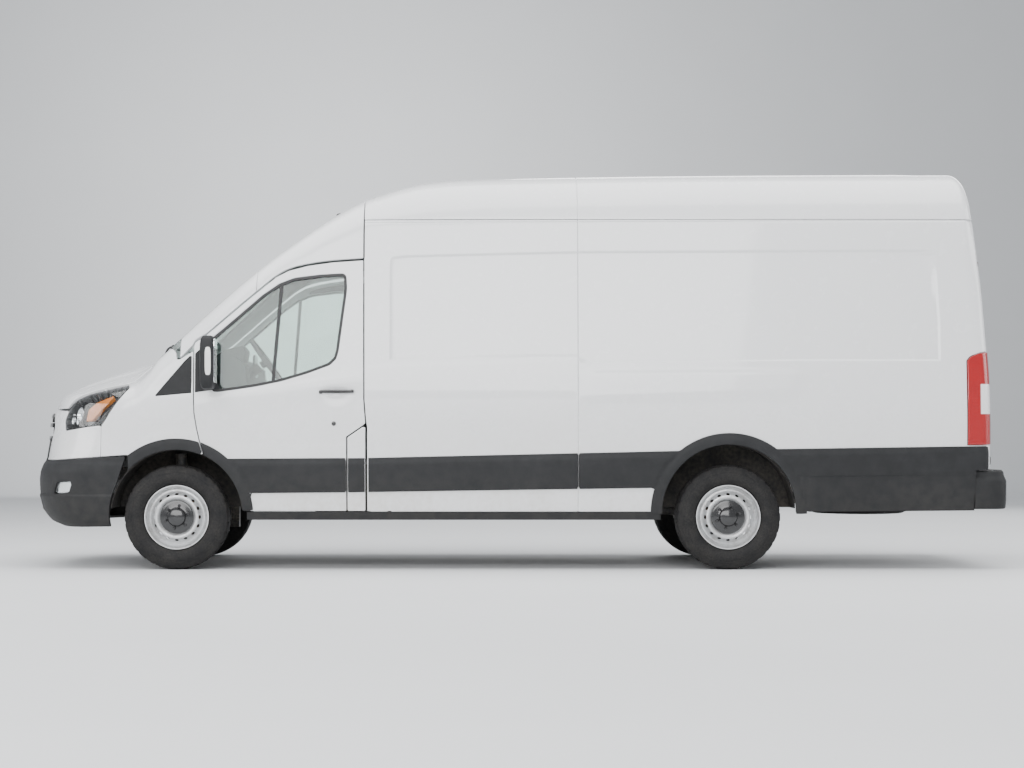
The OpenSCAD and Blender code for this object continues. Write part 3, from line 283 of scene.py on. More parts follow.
def outward(p):
    """Direction out of the skin: the gradient of its gap, by differences of a millimetre."""
    step = np.eye(3)
    g = np.stack([skin_gap(p + step[k]) - skin_gap(p - step[k]) for k in range(3)], axis=-1)
    return g / np.linalg.norm(g, axis=-1, keepdims=True)


def on_side(uv):
    """Left side: u runs along x and then round the rear corner, v is the height."""
    u, v = uv.T
    bend = np.maximum(0, u - (rear_x - 420)) / 930
    origin = np.stack([np.minimum(u, rear_x - 420), 0 * u, v], axis=-1)
    return reach(origin, np.stack([bend, -np.ones_like(u), 0 * u], axis=-1) / np.hypot(1, bend)[:, None],
                 1400)


def on_top(uv):
    """Skin above the plan point u, v."""
    u, v = uv.T
    return reach(np.stack([u, v, 0 * u + 900], axis=-1), np.tile([0.0, 0.0, 1.0], (len(u), 1)), 2000)


def on_nose(uv):
    """Nose at the height v, on the level ray whose arc at 900 mm is u, from straight ahead to the left."""
    u, v = uv.T
    a = u / 900
    return reach(np.stack([0 * u + nose_start, 0 * u, v], axis=-1),
                 np.stack([-np.cos(a), -np.sin(a), 0 * u], axis=-1), 1300)


def on_tail(uv):
    """Rear face behind the point y = u, z = v."""
    u, v = uv.T
    return reach(np.stack([0 * u + rear_axle, u, v], axis=-1), np.tile([1.0, 0.0, 0.0], (len(u), 1)), 2200)


def polygon(*corners):
    """Gap to an outline through corners, below zero inside: the distance to its nearest side, signed by
    how many sides a level line crosses."""
    a = np.array(corners, float)
    b = np.roll(a, -1, axis=0)
    e = b - a

    def gap(q):
        q = q[:, None, :]
        t = np.clip(((q - a) * e).sum(-1) / (e * e).sum(-1), 0, 1)
        far = np.linalg.norm(q - a - t[..., None] * e, axis=-1).min(axis=1)
        crossed = (a[:, 1] > q[..., 1]) != (b[:, 1] > q[..., 1])
        rise = np.where(np.abs(e[:, 1]) > 1e-9, e[:, 1], 1)
        left = q[..., 0] < a[:, 0] + e[:, 0] * (q[..., 1] - a[:, 1]) / rise
        return np.where((crossed & left).sum(axis=1) % 2 == 1, -far, far)

    gap.corners = a
    return gap


def disc(x, z, r):
    return lambda q: np.hypot(q[:, 0] - x, q[:, 1] - z) - r


def box(x0, x1, z0, z1):
    return polygon((x0, z0), (x1, z0), (x1, z1), (x0, z1))


def grown(gap, by):
    return lambda q: gap(q) - by


def joined(*gaps):
    return lambda q: np.min([g(q) for g in gaps], axis=0)


def common(*gaps):
    return lambda q: np.max([g(q) for g in gaps], axis=0)


def cut(gap, *holes):
    return lambda q: np.max([gap(q)] + [-h(q) for h in holes], axis=0)


def lines(low, high, coarse, *dense):
    """Grid lines from low to high, coarse apart, and around each (centre, reach, step) in dense finer
    ones."""
    near = [np.arange(c - r, c + r + s / 2, s) for c, r, s in dense]
    rough = np.linspace(low, high, max(2, round((high - low) / coarse) + 1))
    for c, r, _ in dense:
        rough = rough[np.abs(rough - c) > r + 0.35 * coarse]
    every = np.unique(np.round(np.concatenate([rough, *near]), 3))
    every = every[(every >= low) & (every <= high)]
    return every[np.r_[True, np.diff(every) > 0.4]]


def mesh_piece(name, points, quads, material, body=None, node_slot=None, turn=40):
    """Object from points in millimetres and four-cornered faces; edges sharper than turn degrees stay
    sharp."""
    mesh = bpy.data.meshes.new(name)
    mesh.from_pydata(np.round(points / 1000, 7), [], np.asarray(quads).tolist())
    mesh.validate()
    mesh.polygons.foreach_set("use_smooth", np.ones(len(mesh.polygons), bool))
    mesh.set_sharp_from_angle(angle=math.radians(turn))
    mesh.materials.append(material)
    made = bpy.data.objects.new(name, mesh)
    bpy.context.scene.collection.objects.link(made)
    if body:
        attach(made, body)
    return made


def pressing(us, vs, place, outline, thick, roll=3.0, stand=0.0, relief=None, flat=None, right=False,
             normals=0):
    """Points and faces of a sheet over a grid. The grid's cells inside the outline are kept and their
    edge is moved onto it; the edge rolls inwards by a quarter circle and goes down to a second sheet at
    thick below. stand lifts the whole sheet off the surface, and relief adds a height to each point of
    the outer one. The sheet's direction is the skin's own, or with normals the place's, towards that
    side of the wheel."""
    u, v = np.meshgrid(us, vs, indexing="ij")
    n_u, n_v = u.shape
    uv = np.stack([u.ravel(), v.ravel()], axis=-1)

    def gap(q):
        return outline(flat(q) if flat else q)

    def pull(q):
        h = 0.25
        g = np.stack([gap(q + [h, 0]) - gap(q - [h, 0]), gap(q + [0, h]) - gap(q - [0, h])],
                     axis=-1) / (2 * h)
        return g / np.maximum((g * g).sum(-1, keepdims=True), 0.2)

    cell = np.minimum(np.gradient(us)[:, None], np.gradient(vs)[None, :]).ravel()
    depth = gap(uv) + roll
    core = (depth < -0.3 * np.clip(cell, 1, 12)).reshape(n_u, n_v)
    cells = core[:-1, :-1] | core[1:, :-1] | core[:-1, 1:] | core[1:, 1:]
    index = np.arange(n_u * n_v).reshape(n_u, n_v)
    quads = np.stack([index[:-1, :-1][cells], index[1:, :-1][cells], index[1:, 1:][cells],
                      index[:-1, 1:][cells]], axis=-1)
    used, quads = np.unique(quads, return_inverse=True)
    quads = quads.reshape(-1, 4)
    rim = ~core.ravel()[used]
    uv = uv[used]
    edge = uv[rim]
    for _ in range(5):
        edge = edge - (gap(edge) + roll)[:, None] * pull(edge)
    push = pull(edge) * roll
    for corner in getattr(outline, "corners", []) if not flat else []:
        if abs(gap(corner[None])[0]) < 0.05:
            i = np.argmin(np.hypot(*(edge - corner).T))
            if np.hypot(*(edge[i] - corner)) < 5 * roll + 6:
                push[i] = (corner - edge[i]) if np.hypot(*(corner - edge[i])) < 3 * roll else push[i]
    uv[rim] = edge
    side = np.concatenate([quads[:, [0, 1]], quads[:, [1, 2]], quads[:, [2, 3]], quads[:, [3, 0]]])
    key = np.sort(side, axis=1) @ [len(used), 1]
    _, first, times = np.unique(key, return_index=True, return_counts=True)
    side = side[first[times == 1]]
    ends, side_ends = np.unique(side, return_inverse=True)
    side_ends = side_ends.reshape(-1, 2)
    order = np.full(len(used), -1)
    order[np.flatnonzero(rim)] = np.arange(rim.sum())
    push = push[order[ends]] * (order[ends] >= 0)[:, None]
    skin = place(uv)
    out = -normals * plane_normal(place, uv) if normals else outward(skin)
    lift = stand + (relief(flat(uv) if flat else uv, skin) if relief else np.zeros(len(uv)))
    rings = []
    for t in (30, 60, 90):
        q = uv[ends] + push * math.sin(math.radians(t))
        rings.append(place(q) + out[ends] * (lift[ends] - roll * (1 - math.cos(math.radians(t))))[:, None])
    rings.append(place(uv[ends] + push) + out[ends] * (stand - thick))
    n, m = len(uv), len(ends)
    points = np.concatenate([skin + out * lift[:, None], *rings, skin + out * (stand - thick)])
    a, b = side.T
    ring_a, ring_b = side_ends.T
    faces = [quads, np.stack([b, a, n + ring_a, n + ring_b], axis=-1)]
    for k in range(3):
        faces.append(np.stack([n + k * m + ring_b, n + k * m + ring_a, n + (k + 1) * m + ring_a,
                               n + (k + 1) * m + ring_b], axis=-1))
    faces.append(np.stack([n + 3 * m + ring_b, n + 3 * m + ring_a, n + 4 * m + a, n + 4 * m + b], axis=-1))
    faces.append(n + 4 * m + quads[:, ::-1])
    faces = np.concatenate(faces)
    q = quads[: 400]
    turn = np.cross(points[q[:, 1]] - points[q[:, 0]], points[q[:, 3]] - points[q[:, 0]])
    if (turn * out[q[:, 0]]).sum() < 0:
        faces = faces[:, ::-1]
    if right:
        points = points * [1, -1, 1]
        faces = faces[:, ::-1]
    return points, faces


def plane_normal(place, uv, h=0.5):
    """Direction square to a place: the product of its two slopes, by differences of half a millimetre."""
    n = np.cross(place(uv + [h, 0]) - place(uv - [h, 0]), place(uv + [0, h]) - place(uv - [0, h]))
    return n / np.linalg.norm(n, axis=-1, keepdims=True)


def stack(*sheets):
    """Several meshes as one."""
    points, faces, count = [], [], 0
    for p, f in sheets:
        points.append(p)
        faces.append(np.asarray(f) + count)
        count += len(p)
    return np.concatenate(points), np.concatenate(faces)


def white_paint(s):
    low = s.height().spread(1.15, 0.35)
    dust = low * (s.grain(3.2, 8) * s.grain(26, 5)).spread(0.12, 0.42)
    white = s.grain(1.3, 4).tint((0.765, 0.775, 0.79), (0.80, 0.805, 0.81))
    return s.surface(
        Base_Color=(dust * 0.4).tint(white, (0.50, 0.46, 0.40)),
        Roughness=s.grain(14, 6) * 0.12 + 0.2 + dust * 0.25,
        Coat_Weight=0.7, Coat_Roughness=0.045, Specular_IOR_Level=0.5,
        Normal=s.grain(260, 2).bump(0.00006, 0.35),
    )


paint = finish("white_paint", white_paint)
front_arch_r, rear_arch_r = 446, 452
front_arch_z, rear_arch_z = axle_z + 12, axle_z + 42
door_front_x, flap_x = front_axle + 119, door_post - 112
front_arch = disc(front_axle, front_arch_z, front_arch_r)
rear_arch = disc(rear_axle, rear_arch_z, rear_arch_r)


def door_outline(notch=True):
    """Side opening of a front door: its frame less the fender's curve and the wheel arch."""
    foot = ([(door_post + 17, 989), (flap_x, 901), (flap_x, sill_z)] if notch
            else [(door_post + 17, 989), (door_post + 17, sill_z)])
    frame_line = polygon((door_front_x, sill_z), (door_front_x, 1525), (front_axle + 127, 1545),
                         (front_axle + 197, 1590), (front_axle + 309, 1685), (front_axle + 457, 1812),
                         (front_axle + 578, 1912), (front_axle + 674, 1990), (front_axle + 760, 2036),
                         (front_axle + 891, 2070), (front_axle + 1063, 2094), (door_post, door_top_z),
                         (door_post + 4, 1150), *foot)
    fender = polygon((door_front_x - 50, 1150), (door_front_x, 1150), (front_axle + 123, 1061),
                     (front_axle + 140, 960), (front_axle + 159, 875), (front_axle + 182, 799),
                     (front_axle + 200, 700), (door_front_x - 50, 700))
    return cut(frame_line, fender, front_arch, box(front_axle - 100, front_axle + front_arch_r, sill_z - 10,
                                                   front_arch_z))


flap_outline = polygon((flap_x, sill_z), (flap_x, 901), (door_post + 17, 989), (door_post + 17, sill_z))
slider_outline = grown(polygon((door_post + 120, sill_z + 62), (door_post + 1390, sill_z + 62),
                               (door_post + 1394, gutter_z - 128), (door_post + 120, gutter_z - 140)), 50)
lamp_edge = ((rear_x - 312, 848), (rear_x - 312, 1418), (rear_x - 290, 1446), (rear_x - 240, 1468),
             (rear_x - 180, 1478), (rear_x + 300, 1478), (rear_x + 300, 848))
tail_lamp_outline = polygon(*lamp_edge)
door_edge = smooth_curve((694, -834), (1000, -826), (1450, -802), (2050, -736), (2480, -690))


def soft(x):
    """Smooth step from 0 to 1."""
    x = np.clip(x, 0, 1)
    return x * x * (3 - 2 * x)


def wall_relief(q, skin):
    """Stamping of the side wall: a shallow recess where windows would be, a raised rib under it on the
    rear part, and the groove between the front and rear parts."""
    x, z = q.T
    rise = 0.011 * (x - 420)
    window = polygon((-868, 1418), (-868, 2112), (-812, 2137), (420, 2167), (2743, 2178), (2812, 2150),
                     (2852, 2010), (2868, 1700), (2868, 1416), (1913, 1416), (423, 1400), (400, 1452))
    recess = -7.0 * soft(-window(np.stack([x, z], -1)) / 14)
    fade = soft((x - 425) / 30) * soft((1960 - x) / 120)
    rib = 8.0 * fade * soft((z - 1118 - 0.7 * rise) / (60 + 3 * rise)) * soft((1372 + 0.5 * rise - z) / 62)
    front = soft((x + 1050) / 60) * soft((400 - x) / 30)
    belt = 3.0 * front * soft((z - 1150) / 70) * soft((1400 + 0.037 * (x + 851) - z) / 30)
    groove = -7 * np.exp(-((x - 412) / 2.6) ** 2)
    level = z - 0.0035 * x
    ditch = -5 * np.exp(-((level - 2383) / 4.5) ** 2) - 4 * np.exp(-((level - 2366) / 4.0) ** 2)
    return recess + rib + belt + groove + ditch


wall_u = lines(door_post, rear_x - 10, 54, (412, 9, 2.2), (-868, 16, 6), (rear_axle, 470, 20),
               (2868, 24, 6), (rear_x - 312, 12, 4), (rear_x - 120, 100, 8), (door_post + 8, 20, 6))
wall_v = lines(sill_z, gutter_z - 4, 44, (2150, 36, 6), (1420, 24, 5), (1352, 36, 6), (1196, 70, 8),
               (848, 8, 4), (2376, 20, 3.4), (600, 200, 20), (1476, 12, 4))


def rear_edge_gap(q):
    """How far a point of the wall lies past the shut line of the rear doors, on the rear face."""
    p = on_side(q)
    return (p[:, 1] - door_edge(p[:, 2]) + 9) * (p[:, 0] > rear_x - 420) - 1e3 * (p[:, 0] <= rear_x - 420)


wall_frame = polygon((door_post, sill_z), (rear_x + 300, sill_z), (rear_x + 300, gutter_z - 4),
                     (door_post, gutter_z - 4))
wall_low = polygon((rear_axle + rear_arch_r - 10, 0), (rear_x + 300, 0), (rear_x + 300, 688),
                   (rear_x - 262, 688), (rear_axle + rear_arch_r - 10, sill_z + 20))
arch_foot = box(rear_axle - rear_arch_r, rear_axle + rear_arch_r, 0, rear_arch_z)
left_wall = common(cut(wall_frame, grown(rear_arch, 16), grown(arch_foot, 16), grown(tail_lamp_outline, 4),
                       wall_low, grown(door_outline(), 4), grown(flap_outline, 9)), rear_edge_gap)
right_wall = common(cut(wall_frame, grown(rear_arch, 16), grown(arch_foot, 16), grown(tail_lamp_outline, 4),
                        wall_low, grown(door_outline(False), 4), grown(slider_outline, 4)), rear_edge_gap)
side_wall = mesh_piece("left_wall_skin", *pressing(wall_u, wall_v, on_side, left_wall, 46,
                                                   relief=wall_relief), paint, "body", "paint")
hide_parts("left_side")
side_wall = mesh_piece("right_wall_skin", *pressing(wall_u, wall_v, on_side, right_wall, 46,
                                                    relief=wall_relief, right=True), paint, "body", "paint")
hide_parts("right_side")


def pillar_low(x):
    """Lower edge of the windshield pillar and the roof above the door line."""
    head = smooth_curve((front_axle + 119, 1525), (front_axle + 127, 1545), (front_axle + 197, 1590),
                        (front_axle + 309, 1685), (front_axle + 457, 1812), (front_axle + 578, 1912),
                        (front_axle + 674, 1990), (front_axle + 760, 2036), (front_axle + 891, 2070),
                        (front_axle + 1063, 2094), (door_post, door_top_z))
    return np.where(x < front_axle + 119, 1424 + 1.048 * (x - front_axle - 14), head(x) + 12)


glass_line = smooth_curve((front_axle - 200, 836), (front_axle - 60, 822), (front_axle + 541, 738))
glass_top = front_axle + 568


def on_fan(x, low, a):
    """Skin on the ray at the angle a above the left side, from the middle of the section at x at the
    height low."""
    return reach(np.stack([x, 0 * x, low], axis=-1), np.stack([0 * a, -np.cos(a), np.sin(a)], axis=-1),
                 1500)


def on_pillar(uv):
    """Left windshield pillar: u runs along x, v from 0 at the door to 180 at the glass."""
    x = uv[:, 0]
    s = np.clip(uv[:, 1:] / 180, -0.05, 1.05)
    low = pillar_low(x)
    start = on_side(np.stack([x, low], axis=-1))
    top = on_top(np.stack([x, -glass_line(x) - 4], axis=-1))
    o = np.stack([x, 0 * x, low - 150], axis=-1)
    d = start + (top - start) * s - o
    return reach(o, d / np.linalg.norm(d, axis=-1, keepdims=True), 1500)


pillars = [pressing(lines(front_axle + 14, front_axle + 541, 16), lines(0, 180, 11), on_pillar,
                    box(front_axle + 14, front_axle + 541, 0, 180), 30, 4.0, right=s)
           for s in (False, True)]
pillar = mesh_piece("windshield_pillar_skins", *stack(*pillars), paint, "body", "paint")
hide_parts("windshield_pillars")


def on_cab_roof(uv):
    """Roof above the cab: v is the arc at 900 mm of the ray's angle, u runs from 0 at the glass to 700
    at the seam."""
    a = uv[:, 1] / 900
    rise = 2118 - 1905 - 9
    bow = np.minimum(1, (rise * np.cos(a)) ** 2 / np.maximum(1, (738 * np.sin(a)) ** 2))
    x = glass_top + 11 - 34 * bow
    x = x + (door_post - 4 - x) * uv[:, 0] / 700
    return on_fan(x, pillar_low(x), a)


half_turn = 900 * math.pi
cab_u = lines(0, 700, 24, (0, 20, 5), (700, 16, 5))
cab_v = lines(0, half_turn, 36, (0, 60, 12), (half_turn, 60, 12))
cab_cap = mesh_piece("cab_roof_skin", *pressing(cab_u, cab_v, on_cab_roof, box(0, 700, 0, half_turn), 34),
                     paint, "body", "paint")
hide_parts("cab_roof")

roof_back = smooth_curve((-1400, 2000), (-880, 2300), (-812, 2389), (-802, 2486), (-788, 2530),
                         (-772, 2560), (-716, 2584), (-630, 2582), (0, 2582))


def on_cargo_roof(uv):
    """Roof above the load space: v as on the cab; past the straight part, u leans the rays back to the
    rear opening."""
    u, a = uv[:, 0], uv[:, 1] / 900
    last = rear_x - 420
    x = np.minimum(u, last)
    d = np.stack([0 * a, -np.cos(a), np.sin(a)], axis=-1)
    y = -np.cos(a) * 812
    z = roof_back(-np.abs(y))
    z = np.where(np.abs(y) > 640, gutter_z + (z - gutter_z) * np.minimum(1, np.sin(a) * 7), z)
    e = reach(np.stack([0 * a + last, y, z], axis=-1), np.tile([1.0, 0.0, 0.0], (len(u), 1)), 600)
    e = e - np.stack([0 * a + last, 0 * a, 0 * a + gutter_z], axis=-1)
    e /= np.linalg.norm(e, axis=-1, keepdims=True)
    d = d + (e - d) * np.maximum(0, u - last)[:, None] / 400
    d /= np.linalg.norm(d, axis=-1, keepdims=True)
    return reach(np.stack([x, 0 * x, 0 * x + gutter_z], axis=-1), d, 1500)


def roof_relief(q, skin):
    """Seven long shallow ribs pressed along the roof, which die out before its ends, and its two cross
    seams."""
    x, y, z = skin.T
    inner = soft((x - door_post - 220) / 160) * soft((rear_x - 560 - x) / 160)
    inner = inner * soft((700 - np.abs(y)) / 60)
    seam = -7 * np.exp(-((x - 412) / 2.6) ** 2)
    seam = seam - 5 * np.exp(-((x - rear_x + 500 + 0.3 * (z - 2600)) / 5) ** 2) * (z < 2700)
    return 5.0 * inner * soft(1.6 * np.cos(2 * math.pi * y / 190) + 0.1) + seam


roof_u = lines(door_post + 4, rear_x - 20, 80, (door_post + 6, 14, 5), (412, 9, 2.2),
               (door_post + 300, 100, 30), (rear_x - 480, 90, 18), (rear_x - 190, 180, 22),
               (rear_x - 24, 16, 5))
roof_v = lines(0, half_turn, 28, (0, 40, 10), (half_turn, 40, 10))
cargo_cap = mesh_piece("cargo_roof_skin", *pressing(roof_u, roof_v, on_cargo_roof,
                                                    box(door_post + 4, rear_x - 20, 0, half_turn), 34,
                                                    relief=roof_relief), paint, "body", "paint")
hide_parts("cargo_roof")

hood_back = front_axle - 212
hood_side = smooth_curve((front_axle - 786, 1097), (front_axle - 752, 1139), (front_axle - 708, 1173),
                         (front_axle - 620, 1212), (front_axle - 490, 1243), (front_axle - 318, 1278),
                         (front_axle - 240, 1358), (hood_back + 2, 1388))
head_lamp_edge = ((front_axle - 786, 956), (front_axle - 791, 1010), (front_axle - 771, 1062),
                  (front_axle - 742, 1106), (front_axle - 699, 1146), (front_axle - 616, 1183),
                  (front_axle - 489, 1214), (front_axle - 334, 1245), (front_axle - 410, 1150),
                  (front_axle - 464, 1073), (front_axle - 500, 1015), (front_axle - 519, 992),
                  (front_axle - 619, 982), (front_axle - 706, 969))
head_lamp_outline = grown(polygon(*head_lamp_edge), 9)
hood_outline = polygon((front_axle - 1200, 1092), (front_axle - 790, 1092), (front_axle - 752, 1134),
                       (front_axle - 708, 1168), (front_axle - 620, 1207), (front_axle - 490, 1238),
                       (front_axle - 318, 1272), (front_axle - 240, 1352), (front_axle - 180, 1420),
                       (front_axle - 180, 1700), (front_axle - 1200, 1700))
bumper_top = polygon((front_axle - 1200, 742), (front_axle - 880, 742), (front_axle - 337, 778),
                     (front_axle - 337, 1600), (front_axle - 1200, 1600))
fascia_back = front_axle - 515
fender_outline = cut(polygon((fascia_back, 600), (fascia_back, 1500), (front_axle - 209, 1500),
                             (front_axle - 150, 1640), (front_axle - 5, 1479), (front_axle + 8, 1420),
                             (door_front_x, 1486), (door_front_x, 1150), (front_axle + 123, 1061),
                             (front_axle + 140, 960), (front_axle + 159, 875), (front_axle + 182, 799),
                             (front_axle + 200, 600)), hood_outline, front_arch,
                     grown(head_lamp_outline, 2),
                     polygon((front_axle - 1200, 600), (front_axle - 1200, 742), (front_axle - 880, 742),
                             (front_axle - 337, 778), (front_axle, 700), (front_axle + 50, 600)))


def fender_edge(q):
    """The fender's outline, and clear of the glass near the middle."""
    p = on_side(q)
    return np.maximum(grown(fender_outline, -2)(q), np.where(p[:, 2] > 1398, 842 + p[:, 1], -1e3))


fender_u = lines(fascia_back, front_axle + 205, 20, (door_front_x, 12, 3), (fascia_back, 12, 3))
fender_v = lines(590, 1500, 20, (1270, 60, 6), (790, 60, 8), (1440, 60, 8))


def fender_relief(q, skin):
    """A crisp shoulder that runs back from the lamp and a soft lip round the arch."""
    x, z = q.T
    back = x - front_axle
    shoulder = 4 * soft((1228 + 0.12 * (back + 300) - z) / 40) * soft((back + 420) / 160)
    return shoulder + 3 * np.exp(-((np.hypot(x - front_axle, z - front_arch_z) - 540) / 30) ** 2)


fenders = [pressing(fender_u, fender_v, on_side, fender_edge, 20, relief=fender_relief, right=s)
           for s in (False, True)]
fender = mesh_piece("fender_skins", *stack(*fenders), paint, "body", "paint")
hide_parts("fenders")

grille_outline = grown(polygon((-426, 1036), (426, 1036), (495, 966), (406, 730), (-406, 730), (-495, 966)),
                       30)
intake_outline = grown(polygon((-498, 570), (498, 570), (562, 460), (-562, 460)), 30)


def nose_faces(q):
    """Places of nose points, which the front's outlines are drawn on from two sides."""
    return on_nose(q)


def fascia_edge(p):
    side = p[:, [0, 2]]
    gaps = [bumper_top(side), -hood_outline(side) + 9, -head_lamp_outline(side) + 2,
            side[:, 0] - fascia_back]
    return np.maximum(np.max(gaps, axis=0) + 2, -grille_outline(p[:, 1:]) + 4)


fascia_u = lines(-1250, 1250, 15, (-1120, 90, 9), (1120, 90, 9))
fascia_v = lines(735, 1092, 12, (1070, 26, 5), (750, 16, 5))
fascia = mesh_piece("nose_skin", *pressing(fascia_u, fascia_v, on_nose, fascia_edge, 18, 2.5,
                                           flat=nose_faces), paint, "body", "paint")
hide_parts("front_fascia")

# ---- Bonnet ----
# Outer steel skin folded over an inner frame and hung on two hinges at the windshield. A wide raised
# middle and two crests run down to the nose.


def on_bonnet(uv):
    """Bonnet: u runs from 0 at the nose to 740 at the windshield, v across from -760 to 760; both ends
    bow forwards."""
    t, s = np.clip(uv[:, 0] / 740, -0.01, 1.01), np.clip(uv[:, 1] / 760, -1.01, 1.01)
    wide = -on_side(np.array([[front_axle - 786, 1097.0]]))[0, 1]
    nose = reach(np.stack([0 * s + nose_start, s * wide, 0 * s + 1097], axis=-1),
                 np.tile([-1.0, 0, 0], (len(s), 1)), 1300)[:, 0]
    corner, tip = (reach(np.array([[nose_start, y, 1097.0]]), np.array([[-1.0, 0, 0]]), 1300)[0, 0]
                   for y in (wide, 0))
    side_x = corner + (hood_back - corner) * t
    side_z = hood_side(front_axle - 786 + (hood_back - front_axle + 786) * t)
    side = on_side(np.stack([side_x, side_z], axis=-1))
    middle = tip + (hood_back - 40 - tip) * t
    bow = (nose - corner) / (tip - corner)
    bow = bow + (1 - s * s - bow) * t
    x = side_x + (middle - side_x) * bow
    return on_top(np.stack([x, -s * side[:, 1]], axis=-1))


def bonnet_relief(q, skin):
    """A raised middle between two crests that draw together towards the nose, and a soft dip beside
    them."""
    x, y = skin[:, 0], np.abs(skin[:, 1])
    crest = 330 + 0.32 * (x - front_axle + 900)
    fade = soft((x - front_axle + 900) / 240) * soft((hood_back - 50 - x) / 90)
    return fade * (7 * soft((crest - y) / 46) - 3 * np.exp(-((y - crest - 60) / 50) ** 2))


bonnet_u, bonnet_v = lines(0, 740, 14, (0, 40, 5), (740, 16, 4)), lines(-760, 760, 17, (-750, 14, 4),
                                                                        (750, 14, 4))
bonnet = mesh_piece("bonnet_skin", *pressing(bonnet_u, bonnet_v, on_bonnet, box(0, 740, -760, 760), 22,
                                             relief=bonnet_relief), paint, "bonnet", "paint")
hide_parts("hood")

# ---- Doors ----
# Each front door is a pressed skin folded round an inner panel, with its window frame in one piece. The
# right side has a sliding door, and the tail has two doors on outside hinges. All are painted with the body.

window_edge = ((front_axle + 273, 1239), (front_axle + 273, 1554), (front_axle + 347, 1616),
               (front_axle + 478, 1729), (front_axle + 605, 1839), (front_axle + 713, 1914),
               (front_axle + 809, 1951), (front_axle + 979, 1972), (door_post - 150, 1980),
               (door_post - 147, 1903), (door_post - 202, 1488), (door_post - 215, 1447),
               (door_post - 246, 1417), (front_axle + 882, 1363), (front_axle + 707, 1311),
               (front_axle + 536, 1276), (front_axle + 366, 1251))
window_outline = grown(polygon(*window_edge), 34)
door_u = lines(door_front_x, door_post + 18, 28, (door_front_x, 12, 4), (door_post + 4, 22, 5),
               (door_post - 150, 60, 9), (flap_x, 10, 4), (door_post - 250, 60, 10))
door_v = lines(sill_z, door_top_z, 28, (sill_z, 10, 4), (1260, 60, 9), (1200, 40, 9), (2090, 22, 6),
               (905, 16, 5), (1010, 16, 5))


def door_relief(q, skin):
    """Belt shoulder under the window, a swage above the cladding and the cup behind the pull handle."""
    x, z = q.T
    level = z - 0.16 * (x - front_axle - 119)
    belt = 4 * soft((1170 - level) / 26) - 4 * soft((1120 - level) / 150)
    low = 3 * np.exp(-((z - 808 - 0.008 * (x - front_axle)) / 16) ** 2)
    cup = -13 * soft(1.25 - np.hypot((x - door_post + 182) / 96, (z - 1198) / 44) * 1.0)
    return belt + low + cup


for side, notch, node, right in (("driver", True, "driver_door", False),
                                 ("passenger", False, "passenger_door", True)):
    edge = cut(grown(door_outline(notch), -4.5), window_outline, grown(front_arch, 20),
               box(front_axle - 100, front_axle + front_arch_r + 20, 0, front_arch_z))
    skin = mesh_piece(side + "_door_skin", *pressing(door_u, door_v, on_side, edge, 56, relief=door_relief,
                                                     right=right), paint, node + "_body", "paint")
    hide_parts(node)

flap = mesh_piece("filler_flap_skin", *pressing(lines(flap_x, door_post + 17, 10), lines(sill_z, 990, 12),
                                                on_side, grown(flap_outline, -4.5), 8, 2.5), paint,
                  "filler_flap", "paint")
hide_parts("fuel_flap")


def slider_relief(q, skin):
    """The window recess and the rib carried across the sliding door, and the cup of its handle."""
    x, z = q.T
    window = box(door_post + 190, door_post + 1325, 1425, 2122)
    cup = -12 * soft(1.25 - np.hypot((x - door_post - 170) / 90, (z - 1190) / 42))
    return -5.0 * soft(-window(q) / 16) + 4 * soft((z - 1110) / 60) * soft((1350 - z) / 50) + cup


slider_u = lines(door_post + 66, door_post + 1450, 42, (door_post + 76, 10, 5), (door_post + 190, 20, 6),
                 (door_post + 1325, 20, 6), (door_post + 1436, 10, 5), (door_post + 170, 80, 12))
slider_v = lines(sill_z, gutter_z, 42, (1425, 22, 6), (2122, 22, 6), (1330, 30, 8), (1135, 34, 8),
                 (1190, 50, 10), (2300, 10, 5))
slider = mesh_piece("sliding_door_skin", *pressing(slider_u, slider_v, on_side, grown(slider_outline, -2),
                                                   56, relief=slider_relief, right=True), paint, "body",
                    "paint")
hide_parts("sliding_door")

rear_edge = [(float(door_edge(z)), z) for z in (694, 800, 900, 1000, 1150, 1300, 1450, 1650, 1850, 2050,
                                                2250, 2400)]
rear_door_outline = polygon((-4.5, 694), *rear_edge, (-778, 2480), (-756, 2546), (-706, 2570), (-4.5, 2570))


def rear_door_relief(q, skin):
    """Two blind window recesses and a lower panel pressed into each rear door."""
    upper = polygon((-90, 1500), (-700, 1500), (-640, 2260), (-90, 2260))
    lower = box(-690, -90, 900, 1380)
    return -6.0 * soft(-upper(q) / 22) - 5.0 * soft(-lower(q) / 22)


rear_u = lines(-850, -4, 30, (-10, 10, 4), (-830, 30, 9), (-90, 26, 7), (-690, 26, 8))
rear_v = lines(694, 2570, 34, (700, 10, 4), (2560, 12, 5), (1500, 26, 7), (1380, 26, 7), (900, 26, 7),
               (2260, 26, 7))
for side, right in (("left", False), ("right", True)):
    skin = mesh_piece(side + "_tail_door_skin", *pressing(rear_u, rear_v, on_tail, rear_door_outline, 54,
                                                          relief=rear_door_relief, right=right), paint,
                      side + "_tail_door", "paint")
    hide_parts(side + "_rear_door")

# ---- Glass ----
# Laminated windshield bonded behind a black printed border, and hardened drop glass in each front door,
# held in a black rubber channel with an upright bar between the fixed and the moving pane. All tinted green.


def tinted_glass(s):
    film = s.grain(5, 5).spread(0.3, 0.8)
    return s.surface(Base_Color=film.tint((0.80, 0.93, 0.88), (0.74, 0.88, 0.83)),
                     Roughness=film * 0.03 + 0.01, Transmission_Weight=1.0, IOR=1.45)


def soft_rubber(s):
    return s.surface(Base_Color=s.grain(40, 4).tint((0.012, 0.012, 0.013), (0.03, 0.03, 0.031)),
                     Roughness=s.grain(60, 4) * 0.3 + 0.4, Normal=s.grain(900, 2).bump(0.0002, 0.5))


